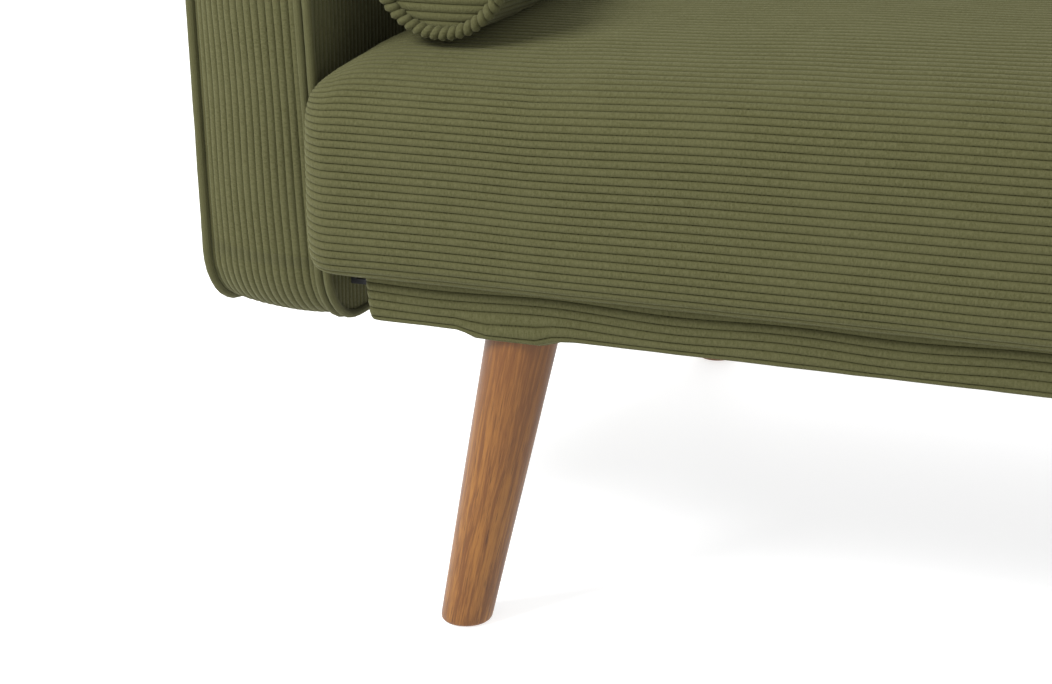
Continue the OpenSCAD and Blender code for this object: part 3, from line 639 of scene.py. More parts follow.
@dataclass(frozen=True)
class Corduroy:
    """Cotton corduroy in one dye; its flank colour is partly a darker tuft tone and partly painted shade, and
    its groove colour is painted shade.
    """

    name: str
    crest: tuple[float, float, float, float]
    flank: tuple[float, float, float, float]
    groove: tuple[float, float, float, float]

    def material(self, pile: PileGroup) -> bpy.types.Material:
        """Makes the cloth's material.

        Args:
            pile: the shared pile group.

        Returns:
            The material.
        """
        material, t, body = shader(self.name)
        place = t.add("ShaderNodeTexCoord").outputs["Object"]
        nap = t.add("ShaderNodeGroup", {
            "Ridge": read(t, Reading.RIDGE), "Across": read(t, Reading.ACROSS),
            "Along": read(t, Reading.ALONG),
            "Place": place, "Crest": self.crest, "Flank": self.flank, "Groove": self.groove},
            node_tree=pile.group)
        t.feed(body, {"Base Color": nap.outputs["Color"],
                      "Normal": t.bump(0.85, 0.0009, nap.outputs["Height"]),
                      "Roughness": 0.92, "Sheen Weight": 0.16, "Sheen Roughness": 0.45,
                      "Sheen Tint": rgb(0.6, 0.6, 0.36), "Specular IOR Level": 0.15})
        return material


@dataclass(frozen=True)
class Wood:
    """A wood with its stain and polish."""

    name: str
    light: tuple[float, float, float, float]
    dark: tuple[float, float, float, float]
    pore: tuple[float, float, float, float]
    roughness: float
    along: Optional[int] = None

    def material(self, grain: GrainGroup) -> bpy.types.Material:
        """Makes the wood's material; on the leg, painted shade darkens it toward its top.

        Args:
            grain: the shared grain group.

        Returns:
            The material.
        """
        material, t, body = shader(self.name)
        if self.along is None:
            vector = read(t, Reading.GRAIN)
        else:
            part = t.add("ShaderNodeSeparateXYZ", {0: t.add("ShaderNodeTexCoord").outputs["Object"]}).outputs
            order = [i for i in range(3) if i != self.along] + [self.along]
            vector = t.add("ShaderNodeCombineXYZ", {k: part[i] for k, i in enumerate(order)}).outputs[0]
        nap = t.add("ShaderNodeGroup", {"Grain": vector, "Light": self.light, "Dark": self.dark,
                                        "Pore": self.pore}, node_tree=grain.group)
        colour = nap.outputs["Color"]
        if self.along is None:
            # Painted shade: the leg darkens toward its top, standing in for the shade under the plinth's
            # overhang.
            height = t.add("ShaderNodeSeparateXYZ", {0: vector}).outputs[2]
            colour = t.mix(t.ramp(height, 0.03, 0.21, 0.0, 0.6), colour, self.dark)
        t.feed(body, {"Base Color": colour, "Normal": t.bump(0.25, 0.0004, nap.outputs["Height"]),
                      "Roughness": self.roughness, "Specular IOR Level": 0.3,
                      "Coat Weight": 0.12 if self.roughness < 0.5 else 0.0, "Coat Roughness": 0.3})
        return material


@dataclass(frozen=True)
class Metal:
    """A steel surface, bright or painted."""

    name: str
    colour: tuple[float, float, float, float]
    worn: tuple[float, float, float, float]
    metallic: float
    roughness: float

    def material(self) -> bpy.types.Material:
        """Makes the metal's material."""
        material, t, body = shader(self.name)
        place = t.add("ShaderNodeTexCoord").outputs["Object"]
        patch = t.noise(place, 90.0, 4.0, 0.6)
        grit = t.noise(place, 1800.0, 2.0)
        t.feed(body, {"Base Color": t.mix(t.ramp(patch, 0.4, 0.75), self.colour, self.worn),
                      "Roughness": t.ramp(patch, 0.3, 0.7, self.roughness, self.roughness + 0.14),
                      "Normal": t.bump(0.2, 0.0002, grit), "Metallic": self.metallic})
        return material


@dataclass(frozen=True)
class Speckled:
    """A plain matt material with a fine speckle: foam, lining or plastic."""

    name: str
    colour: tuple[float, float, float, float]
    fleck: tuple[float, float, float, float]
    scale: float
    roughness: float
    bump: float

    def material(self) -> bpy.types.Material:
        """Makes the material."""
        material, t, body = shader(self.name)
        place = t.add("ShaderNodeTexCoord").outputs["Object"]
        fleck = t.noise(place, self.scale, 3.0, 0.65)
        slow = t.noise(place, self.scale / 30.0, 2.0)
        colour = t.mix(t.ramp(t.math("ADD", t.math("MULTIPLY", fleck, 0.7), t.math("MULTIPLY", slow, 0.3)),
                              0.4, 0.62), self.colour, self.fleck)
        t.feed(body, {"Base Color": colour, "Normal": t.bump(self.bump, 0.0005, fleck),
                      "Roughness": self.roughness})
        return material


class Finishes:
    """Every material of the sofa, made once."""

    def __init__(self) -> None:
        """Makes the groups and the materials."""
        pile, grain = PileGroup(), GrainGroup()
        # In each corduroy the groove colour is painted shade, and the flank colour is partly painted shade on
        # the wales' shoulders and partly the darker tuft tone.
        self.cloth = Corduroy("olive corduroy", rgb(0.073, 0.0718, 0.0310), rgb(0.048, 0.0467, 0.0165),
                              rgb(0.011, 0.0106, 0.0020)).material(pile)
        self.piping = Corduroy("olive piping", rgb(0.068, 0.0668, 0.0290), rgb(0.045, 0.0438, 0.0154),
                               rgb(0.011, 0.0106, 0.0020)).material(pile)
        leg = ("oiled leg wood", rgb(0.26, 0.112, 0.020), rgb(0.110, 0.038, 0.006),
               rgb(0.035, 0.011, 0.002))
        self.leg = Wood(*leg, roughness=0.42).material(grain)
        pine = (rgb(0.66, 0.46, 0.25), rgb(0.5, 0.3, 0.13), rgb(0.3, 0.16, 0.07))
        self.pine = {k: Wood(f"frame pine {'xyz'[k]}", *pine, roughness=0.7, along=k).material(grain)
                     for k in range(3)}
        beech = (rgb(0.62, 0.4, 0.24), rgb(0.47, 0.27, 0.14), rgb(0.28, 0.14, 0.07))
        self.slat = {k: Wood(f"beech slat {'xyz'[k]}", *beech, roughness=0.55, along=k).material(grain)
                     for k in (1, 2)}
        self.zinc = Metal("zinc plated steel", rgb(0.62, 0.63, 0.65), rgb(0.45, 0.46, 0.48), 1.0,
                          0.3).material()
        self.black = Metal("black lacquered steel", rgb(0.018, 0.018, 0.02), rgb(0.04, 0.04, 0.042), 0.2,
                           0.42).material()
        self.glide = Speckled("glide plastic", rgb(0.03, 0.03, 0.03), rgb(0.05, 0.05, 0.05), 700, 0.5,
                              0.2).material()
        self.foam = Speckled("cushion foam", rgb(0.75, 0.68, 0.42), rgb(0.6, 0.52, 0.3), 900, 0.95,
                             0.8).material()
        self.lining = Speckled("black lining", rgb(0.012, 0.012, 0.013), rgb(0.035, 0.035, 0.037), 1300,
                               0.95,
                               0.9).material()
        self.relief = WaleRelief()


# ---- cushions ----


@dataclass
class Cushion:
    """A boxed cushion whose wales run along X and turn round its ends.

    Attributes:
        outline: the closed section, from the lower front round the front, the top and the rear.
        ribbed: how much of the section's length has wales, from its start.
        low_x: its lower end in X.
        high_x: its upper end in X.
        end_round: the radius of its ends.
        slack: how far the loose cloth is drawn in.
        column: spacing of the columns.
        end_low: how much of the ends' rounding the underside and the top have.
        fall: how far the top comes down at each distance from the middle.
        hold: how firmly each point is kept from being drawn in.
    """

    outline: np.ndarray
    ribbed: float
    low_x: float
    high_x: float
    end_round: float
    slack: float
    column: float = 0.014
    end_low: float = 0.4
    fall: Callable[[np.ndarray], np.ndarray] = field(default=lambda x: x * 0.0)
    hold: Callable[[np.ndarray, np.ndarray], np.ndarray] = field(default=lambda p, n: np.zeros(p.shape[:2]))

    def columns(self, step: float, arc_steps: int, in_steps: int) -> tuple[np.ndarray, np.ndarray,
                                                                           np.ndarray]:
        """Where the columns stand.

        Args:
            step: spacing in the straight part.
            arc_steps: columns in each rounded end.
            in_steps: columns over each end face.

        Returns:
            X, the distance along the cloth, and for each column how far its front and rear, its underside
            and its top are drawn in, in metres, and how far it has gone over the end face, 0 to 1.
        """
        r, reach, mid = self.end_round, float(self.half[1]), (self.low_x + self.high_x) / 2
        end = self.high_x - mid
        soft = min(0.1, end / 3)
        flat = np.linspace(0, end - soft, max(2, int(round((end - soft) / step))) + 1)
        near = np.linspace(end - soft, end - r, max(3, int(round((soft - r) / (step * 0.5)))) + 1)[1:]
        turn = np.linspace(0, math.pi / 2, arc_steps + 1)[1:]
        x = np.concatenate([flat, near, end - r + r * np.sin(turn), np.full(in_steps, end)])
        drawn = np.concatenate([np.zeros(len(flat) + len(near)), r * (1 - np.cos(turn)),
                                np.full(in_steps, r)])
        over = np.concatenate([np.zeros(len(x) - in_steps), np.linspace(0, 1, in_steps + 1)[1:]])
        top = np.maximum(np.minimum(self.fall(x), 0.014), drawn * self.end_low)
        table = np.stack([drawn, drawn * self.end_low, top, over], -1)
        x_all = np.concatenate([mid - x[::-1], mid + x[1:]])
        rows = np.concatenate([table[::-1], table[1:]])
        return x_all, travelled(np.stack([x_all, rows[:, 0] + reach * rows[:, 3]], -1)), rows

    def __post_init__(self) -> None:
        """Measures the section."""
        low, high = self.outline.min(0), self.outline.max(0)
        self.centre = (low + high) / 2
        self.half = (high - low) / 2
        self.loop = np.vstack([self.outline, self.outline[:1]])
        self.around = float(travelled(self.loop)[-1])

    def surface(self, s: np.ndarray, x: np.ndarray, drawn: np.ndarray) -> np.ndarray:
        """The cushion's skin before its loose cloth is drawn in.

        Args:
            s: distances round the section, one per row.
            x: column positions.
            drawn: how each column is drawn in, from `columns`.

        Returns:
            rows x columns x 3 points, X then the section's two axes.
        """
        p = along_path(self.loop, s)[:, None, :] - self.centre
        front, low, top, over = drawn.T[:, None, :]
        deep, high = float(self.half[0]), float(self.half[1])
        y = p[..., 0] * (1 - front / deep) * (1 - over)
        z = (p[..., 1] + high) * (1 - (low + top) / (2 * high)) - high + low
        fall = self.fall(x)
        if fall.any():
            level, soft = high - fall, np.clip((fall - 0.012) * 0.5, 0.0002, 0.016)
            z = level - soft * np.logaddexp(0.0, (level - z) / soft)
        z = z + ((low - top) / 2 - z) * over
        x_all = np.broadcast_to(x[None], y.shape)
        return np.stack([x_all, y + self.centre[0], z + self.centre[1]], -1)

    def cloth(self) -> Cloth:
        """Builds the cushion, on a coarse ring for the slack and a fine grid for the wales.

        Returns:
            The finished grid.
        """
        x, along, drawn = self.columns(self.column, 7, 8)
        s, across = wale_rows(self.ribbed)
        rest = np.linspace(self.ribbed, self.around, 11)[1:-1]
        rows = np.append(s, rest)
        fine = self.surface(rows, x, drawn)
        cx, calong, cdrawn = self.columns(0.026, 4, 4)
        cs = np.linspace(0, self.around, 85)[:-1]
        ring = self.surface(cs, cx, cdrawn)
        held = np.maximum((cdrawn[:, 3] > 0.01)[None, :] * 1.0, (cs >= self.ribbed)[:, None] * 1.0)
        held = np.maximum(held, self.hold(ring, cs))
        move = self.inward(ring) * (self.slack * (1.0 - held))[..., None]
        for _ in range(2):
            move[:, 1:-1] = 0.25 * move[:, :-2] + 0.5 * move[:, 1:-1] + 0.25 * move[:, 2:]
            move = 0.25 * np.roll(move, 1, 0) + 0.5 * move + 0.25 * np.roll(move, -1, 0)
        move[..., 0] = 0.0
        up = eased_fill(np.append(cs, self.around), np.concatenate([move, move[:1]]), rows)
        both = eased_fill(np.arange(len(cx), dtype=float), np.swapaxes(up, 0, 1),
                          np.interp(along / along[-1], calong / calong[-1], np.arange(len(cx))))
        points = fine + np.swapaxes(both, 0, 1)
        relief = np.ones(points.shape[:2])
        relief[len(s):] = 0.0
        relief[0], relief[len(s) - 1] = 0.3, 0.3
        return Cloth(points, np.append(across, across[-1] + rest - self.ribbed), along, relief,
                     wrap_rows=True)

    def inward(self, ring: np.ndarray) -> np.ndarray:
        """Unit vectors into the cushion at each point of a ring."""
        a = np.roll(ring, -1, 0) - np.roll(ring, 1, 0)
        b = np.gradient(ring, axis=1)
        n = np.cross(a, b)
        n /= np.maximum(np.linalg.norm(n, axis=-1, keepdims=True), 1e-9)
        out = ring - ring.mean((0, 1))
        return n * -np.sign(np.sum(n * out))


# ---- pieces of cloth on flat panels, bands and cords ----


def panel(outline: np.ndarray, place: Callable[[np.ndarray, np.ndarray], np.ndarray], facing: tuple,
          cols: int = 40) -> Cloth:
    """Covers a closed outline with straight wales.

    Args:
        outline: the outline; wales follow its second axis.
        place: turns outline coordinates into points.
        facing: the way the panel looks.
        cols: points along each wale.

    Returns:
        The grid.
    """
    lo, hi = int(np.argmin(outline[:, 0])), int(np.argmax(outline[:, 0]))
    n = len(outline)
    chains = [outline[[(lo + k) % n for k in range((hi - lo) % n + 1)]],
              outline[[(hi + k) % n for k in range((lo - hi) % n + 1)]][::-1]]
    a0, a1 = outline[lo, 0], outline[hi, 0]
    s, across = wale_rows(a1 - a0 - 2e-4)
    a = a0 + 1e-4 + s
    ends = np.sort(np.stack([np.interp(a, c[:, 0], c[:, 1]) for c in chains]), axis=0)
    t = np.linspace(0, 1, cols)
    b = ends[0][:, None] + (ends[1] - ends[0])[:, None] * t[None]
    points = place(np.broadcast_to(a[:, None], b.shape), b)
    relief = np.ones(b.shape)
    relief[:, [0, -1]] = 0.2
    relief[[0, -1]] = 0.2
    return Cloth(points, across, t * float(np.max(ends[1] - ends[0])), relief, facing=facing)


def cord_cloth(line: np.ndarray, side: np.ndarray, up: np.ndarray, radius: float, pitch: float,
               skew: float = 0.6, sides: int = 10, cross: bool = True) -> Cloth:
    """Piping along a closed line.

    Args:
        line: its centre line's points.
        side: a unit vector across the cord at each point.
        up: the other unit vector across the cord.
        radius: the cord's radius.
        pitch: the width of the wales that cross it.
        skew: how far those wales lean.
        sides: points round the cord.
        cross: whether wales cross the cord.

    Returns:
        The grid.
    """
    closed = np.vstack([line, line[:1]])
    length = float(travelled(closed)[-1])
    if cross:
        s, across = wale_rows(length, pitch)
        s, across = s[:-1], across[:-1]
    else:
        count = len(line)
        s, across = np.arange(count) * length / count, np.full(count, 0.5 * WALE)
    centre = along_path(closed, s)
    d = travelled(closed)
    e = np.stack([np.interp(s, d, np.append(side[:, k], side[0, k])) for k in range(3)], -1)
    f = np.stack([np.interp(s, d, np.append(up[:, k], up[0, k])) for k in range(3)], -1)
    turn = np.linspace(0, 2 * math.pi, sides, endpoint=False)
    points = (centre[:, None] + radius * (np.cos(turn)[None, :, None] * e[:, None]
                                          + np.sin(turn)[None, :, None] * f[:, None]))
    if cross and skew:
        lean = skew * radius * np.sin(turn)
        tangent = np.cross(e, f)
        points = points + tangent[:, None] * lean[None, :, None]
    relief = np.ones(points.shape[:2])
    return Cloth(points, across, turn * radius, relief, wrap_rows=True, wrap_columns=True)


# ---- sub-assemblies ----


@dataclass
class Sizes:
    """Places and sizes read from the frame."""

    front_y: float
    seat_rear_y: float
    axis_y: float
    axis_z: float
    seat_half: float
    seat_low: float
    seat_top: float
    plinth_half: float
    plinth_front: float
    plinth_rear: float
    plinth_low: float
    plinth_top: float

    @classmethod
    def measured(cls) -> "Sizes":
        """Reads the boxes of the nodes."""
        seat, front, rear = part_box("seat_cover"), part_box("plinth_front_cover"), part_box("plinth_rear_cover")
        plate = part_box("seat_hinge_plates")
        axis_y = (plate[0].y + plate[1].y) / 2
        return cls(seat[0].y, seat[1].y, axis_y, plate[1].z - 0.033, seat[1].x, seat[0].z, seat[1].z,
                   front[1].x, front[0].y, rear[1].y, front[0].z, front[1].z)


@dataclass
class Seat:
    """The one-piece seat cushion."""

    sizes: Sizes
    end_round: float = 0.025
    slack: float = 0.0048
    crown_fall: tuple[tuple[float, float], ...] = (
        (0.457, 0.0037), (0.270, 0.009), (0.170, 0.0140), (0.094, 0.0205), (0.048, 0.0300), (0.024, 0.041),
        (0.010, 0.0530), (0.003, 0.061), (0.0, 0.067))

    def outline(self) -> np.ndarray:
        """The section through the middle, from the lower front crease over the top to the rear crease."""
        y0, y1, top, low = self.sizes.front_y, self.sizes.seat_rear_y, self.sizes.seat_top, self.sizes.seat_low
        front = softened([(0.020, -0.0012), (0.012, -0.0005), (0.0050, 0.0030), (0.0008, 0.0105),
                          (-0.0012, 0.022),
                          (-0.0025, 0.042),
                          (-0.0030, 0.072), (-0.0022, 0.1), (0.0, 0.120), (0.0040, 0.132), (0.0105, 0.1425),
                          (0.0195, 0.1515), (0.030, 0.159), (0.052, 0.1692), (0.075, 0.1765),
                          (0.098, 0.1825),
                          (0.122, 0.187), (0.15, 0.1913), (0.19, 0.1960), (0.235, 0.1995),
                          ((y1 - y0) / 2, top - low)])
        half = np.stack([y0 + front[:, 0], low + front[:, 1]], -1)
        rear = half[::-1][1:].copy()
        rear[:, 0] = y0 + y1 - rear[:, 0]
        rear[:, 0] = np.minimum(rear[:, 0], y1 - 0.0012)
        return np.vstack([half, rear])

    def build(self, finishes: Finishes) -> None:
        """Makes the cushion."""
        outline = self.outline()
        ribbed = float(travelled(outline)[-1])
        half = self.sizes.seat_half
        rear = self.sizes.seat_rear_y

        def hold(ring: np.ndarray, s: np.ndarray) -> np.ndarray:
            """Holds the rear face, which stands against the backs, and the front crease."""
            crease = smoothstep(0.075, 0.03, s)[:, None]
            return np.maximum(smoothstep(rear - 0.05, rear - 0.01, ring[..., 1]), crease)

        path = softened([(0.0, 0.0)] + [(half - d, f) for d, f in self.crown_fall])

        def fall(x: np.ndarray) -> np.ndarray:
            """How far the crown has fallen at each distance from the middle."""
            return np.interp(np.abs(x), path[:, 0], np.maximum.accumulate(path[:, 1]))

        cushion = Cushion(outline, ribbed, -half, half, self.end_round, self.slack, fall=fall, hold=hold)
        cloth = cushion.cloth()
        cloth.points[..., 1] = np.minimum(cloth.points[..., 1], rear - 0.0008)
        wander = 0.00035 * waves(cloth.points[..., 0], cloth.across[:, None], 3, 0.16)
        cloth.points[..., 2] += wander * smoothstep(0.0, 0.03, cloth.across)[:, None]
        piece = finishes.relief.apply(cloth_object("seat_cushion", [cloth]), finishes.cloth, uneven=0.0016)
        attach(piece, "sofa")
        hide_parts("seat_cover", "seat_foam")
        log.info("seat cushion: %d wales", round(ribbed / WALE))


@dataclass
class Plinth:
    """The upholstered box under the seat."""

    sizes: Sizes
    edge: float = 0.0045
    corner: float = 0.0055
    end_flare: float = 0.0042

    def build(self, finishes: Finishes) -> None:
        """Makes the cloth round the plinth."""
        z = self.sizes
        low, top = z.plinth_low, z.plinth_top
        face = np.vstack([[(0.012, top + 0.0030), (0.002, top + 0.0028), (0.0004, top + 0.0012)],
                          arc((self.edge, low + self.edge), self.edge, 180, 270, 8), [(0.04, low)]])
        length = float(travelled(face)[-1])
        s, across = wale_rows(length)
        cy, hy, hx = (z.plinth_front + z.plinth_rear) / 2, (z.plinth_rear - z.plinth_front) / 2, z.plinth_half
        loop = rounded_loop([(-hx, -hy), (hx, -hy), (hx, hy), (-hx, hy)], [self.corner] * 4, 0.012, 7)
        along = travelled(loop)
        slide = 0.0011 * waves(along[None, :], across[:, None] * 0.3, 11, 0.12) * smoothstep(
            0.012, 0.02, s)[:, None] * smoothstep(0.046, 0.033, s)[:, None]
        place = along_path(face, (s[:, None] + slide).ravel()).reshape(slide.shape + (2,))
        inset, height = place[..., 0], place[..., 1].copy()
        x = loop[None, :, 0] * (1 - inset / hx)
        y = cy + loop[None, :, 1] * (1 - inset / hy)
        for foot in ("leg_front_left", "leg_front_right", "leg_rear_left", "leg_rear_right"):
            lo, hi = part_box(foot)
            fx = hi.x - 0.026 if lo.x < 0 else lo.x + 0.026
            fy = hi.y - 0.026 if lo.y < 0 else lo.y + 0.026
            near = smoothstep(0.047, 0.034, np.hypot(x - fx, y - fy))
            near = near * smoothstep(low + 0.018, low + 0.0045, height)
            height -= 0.0042 * near
            y = y + np.sign(y - cy) * 0.0024 * near
        ends = smoothstep(hx - 0.03, hx - 0.004, np.abs(x)) * np.sign(x)
        x = x + ends * self.end_flare * np.clip((height - low) / (top - low), 0, 1)
        points = np.stack([x, y, height], -1)
        relief = np.ones(x.shape)
        relief[[0, -1]] = 0.3
        cloth = Cloth(points, across, along, relief, wrap_columns=True)
        piece = finishes.relief.apply(cloth_object("plinth_cloth", [cloth]), finishes.cloth, depth=0.0014,
                                      uneven=0.0008, lump=0.04)
        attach(piece, "sofa")
        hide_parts("plinth_front_cover", "plinth_rear_cover", "plinth_end_covers")
        log.info("plinth cloth")


@dataclass
class Arm:
    """One upholstered arm with its band, side panels and piping."""

    sizes: Sizes
    side: Side
    low_corner: float = 0.047
    top_corner: float = 0.050
    setback_low: float = 0.0035
    setback_top: float = 0.0275
    lean: float = 0.038

    def build(self, finishes: Finishes) -> None:
        """Makes the arm's cloth."""
        word, sign = self.side.word, float(self.side.value)
        lo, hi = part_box(f"arm_cover_{word}")
        inner = min(abs(lo.x), abs(hi.x))
        width = abs(hi.x - lo.x)
        lean = self.lean
        corners = [(lo.y + lean, lo.z), (hi.y - lean, lo.z), (hi.y, hi.z), (lo.y, hi.z)]
        radii = [self.low_corner, self.low_corner, self.top_corner, self.top_corner]
        lengths = [math.dist(a, b) for a, b in zip(corners, corners[1:] + corners[:1])]
        pieces = [max(2, round(d / 0.012)) for d in lengths]
        loop = rounded_loop(corners, radii, 0.010, 12, pieces)
        low_in, top_in, rise = self.setback_low, self.setback_top, 0.0025
        outer = rounded_loop([(lo.y + lean + low_in, lo.z + rise), (hi.y - lean - low_in, lo.z + rise),
                              (hi.y - top_in, hi.z - rise), (lo.y + top_in, hi.z - rise)],
                             radii, 0.010, 12, pieces)
        normal = loop_normals(loop)
        along = travelled(loop)
        shape = softened([(0.010, 0.0010, 0.0), (0.016, 0.0020, 0.0), (0.028, 0.0030, 0.01),
                          (0.045, 0.0034, 0.06),
                          (0.060, 0.0030, 0.17), (0.074, 0.0022, 0.33), (0.086, 0.0012, 0.52),
                          (0.096, 0.0, 0.75), (width - 0.003, -0.001, 1.0)])
        gone = travelled(np.stack([shape[:, 0], shape[:, 1] - 0.018 * shape[:, 2]], -1))
        length = float(gone[-1])
        s, across = wale_rows(length)
        d = np.stack([np.interp(s, gone, shape[:, k]) for k in range(3)], -1)
        wander = 0.0005 * waves(along[None, :], across[:, None] * 0.3, 21, 0.14) * np.sin(
            math.pi * s / length)[:, None]
        yz = (loop[None] + (outer - loop)[None] * d[:, 2, None, None]
              + normal[None] * (d[:, 1, None] + wander * 0.4)[..., None])
        x = np.broadcast_to(sign * (inner + d[:, 0, None] + wander), yz.shape[:2])
        relief = np.ones(x.shape)
        relief[[0, -1]] = 0.3
        band = Cloth(np.concatenate([x[..., None], yz], -1), across, along, relief, wrap_columns=True)
        self.finish(finishes, "arm_band_" + word, [band], finishes.cloth, "cloth",
                    [f"arm_cover_{word}", f"arm_foam_{word}"], 0.9)

        def side_panel(edge: np.ndarray, at: float, bulge: float, look: float) -> Cloth:
            """One side of the arm inside its edge, a little crowned."""
            (ya, za), (yb, zb) = edge.min(0), edge.max(0)

            def place(a: np.ndarray, b: np.ndarray) -> np.ndarray:
                """Turns outline coordinates into points."""
                u, v = np.clip((a - ya) / (yb - ya), 0, 1), np.clip((b - za) / (zb - za), 0, 1)
                crown = bulge * np.clip(16 * u * (1 - u) * v * (1 - v), 0, 1) ** 0.45
                return np.stack([sign * (at + look * crown), a, b], -1)

            return panel(edge, place, (look * sign, 0, 0), 44)

        self.finish(finishes, "arm_inner_panel_" + word,
                    [side_panel(loop - normal * 0.0012, inner + 0.0006, 0.0008, -1.0)],
                    finishes.cloth, "cloth", [], 0.95)
        self.finish(finishes, "arm_outer_panel_" + word,
                    [side_panel(outer - normal * 0.001, inner + width, 0.006, 1.0)],
                    finishes.cloth, "cloth", [], 0.9)
        cords = []
        for at, base, out, radius in ((0.0012, loop, 0.0014, 0.0034), (0.0080, loop, 0.0018, 0.0031),
                                      (width - 0.002, outer, 0.0008, 0.0036)):
            yz1 = base + normal * out
            line = np.concatenate([np.full((len(loop), 1), sign * (inner + at)), yz1], -1)
            out3 = np.concatenate([np.zeros((len(loop), 1)), normal], -1)
            flat = np.zeros_like(out3)
            flat[:, 0] = sign
            cords.append(cord_cloth(line, flat, out3, radius, WALE, cross=False, sides=12))
        self.finish(finishes, "arm_piping_" + word, cords, finishes.piping, "piping_cloth",
                    [f"arm_welts_{word}"], None)
        log.info("arm %s", word)

    @staticmethod
    def finish(finishes: Finishes, name: str, parts: Sequence[Cloth], material: bpy.types.Material,
               slot: str,
               nodes: Sequence[str], fill: Optional[float]) -> None:
        """Gives a piece its wales, its finish and its body, and hides the nodes it replaces."""
        piece = finishes.relief.apply(cloth_object(name, parts), material, depth=0.0013, uneven=0.0010,
                                      lump=0.045)
        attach(piece, "sofa")
        if nodes:
            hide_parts(*nodes)


@dataclass
class Back:
    """One reclining back cushion."""

    sizes: Sizes
    side: Side
    recline: float = 15.0
    crown_centre: tuple[float, float] = (1.2238, 0.200)
    crown_radius: float = 1.3
    round_radius: float = 0.060
    top: float = 0.450
    under: float = 0.085
    end_round: float = 0.022
    slack: float = 0.006

    def outline(self) -> np.ndarray:
        """The section in the back's own frame: behind the axis, and up from it."""
        cy, cz = self.crown_centre
        rt, rr, rl = 0.045, 0.030, 0.022
        ty = cy - math.sqrt((self.crown_radius - rt) ** 2 - (self.top - rt - cz) ** 2)
        a0 = math.degrees(math.atan2(-cz, -cy)) % 360
        a1 = math.degrees(math.atan2(self.top - rt - cz, ty - cy))
        return np.vstack([
            arc((0, 0), self.round_radius, 270, a0, 14),
            arc((cy, cz), self.crown_radius, a0, a1, 40)[1:],
            arc((ty, self.top - rt), rt, a1, 90, 10)[1:],
            arc((self.under - rr, self.top - rr), rr, 90, 0, 10),
            arc((self.under - rl, -self.round_radius + rl), rl, 0, -90, 8)])

    def build(self, finishes: Finishes) -> None:
        """Makes the cushion in its own frame, then leans it back."""
        word = self.side.word
        lo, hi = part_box(f"back_cover_{word}")
        outline = self.outline()
        ribbed = float(travelled(outline)[-1])

        def hold(ring: np.ndarray, s: np.ndarray) -> np.ndarray:
            """Holds the part near the axis and the hard rear."""
            near = smoothstep(0.16, 0.06, ring[..., 2])
            rear = smoothstep(self.under - 0.03, self.under - 0.005, ring[..., 1])
            return np.maximum(near, rear)

        cushion = Cushion(outline, ribbed, lo.x + 0.0002, hi.x - 0.0002, self.end_round, self.slack,
                          end_low=0.2, hold=hold)
        cloth = cushion.cloth()
        p = cloth.points
        r = np.hypot(p[..., 1], p[..., 2])
        mid = (lo.x + hi.x) / 2
        end = np.abs(p[..., 0] - mid) > (hi.x - lo.x) / 2 - 0.012
        p[..., 0] -= np.sign(p[..., 0] - mid) * 0.009 * end * smoothstep(0.026, 0.017, r)
        p[..., 1] += 0.0004 * waves(p[..., 0], cloth.across[:, None], 5 + self.side.value, 0.2)
        c, sn = math.cos(math.radians(self.recline)), math.sin(math.radians(self.recline))
        y, z = p[..., 1] * c + p[..., 2] * sn, -p[..., 1] * sn + p[..., 2] * c
        p[..., 1], p[..., 2] = y + self.sizes.axis_y, z + self.sizes.axis_z
        piece = finishes.relief.apply(cloth_object("back_cushion_" + word, [cloth]), finishes.cloth,
                                      uneven=0.0014)
        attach(piece, "back_" + word)
        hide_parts(f"back_cover_{word}", f"back_foam_{word}")
        log.info("back %s", word)


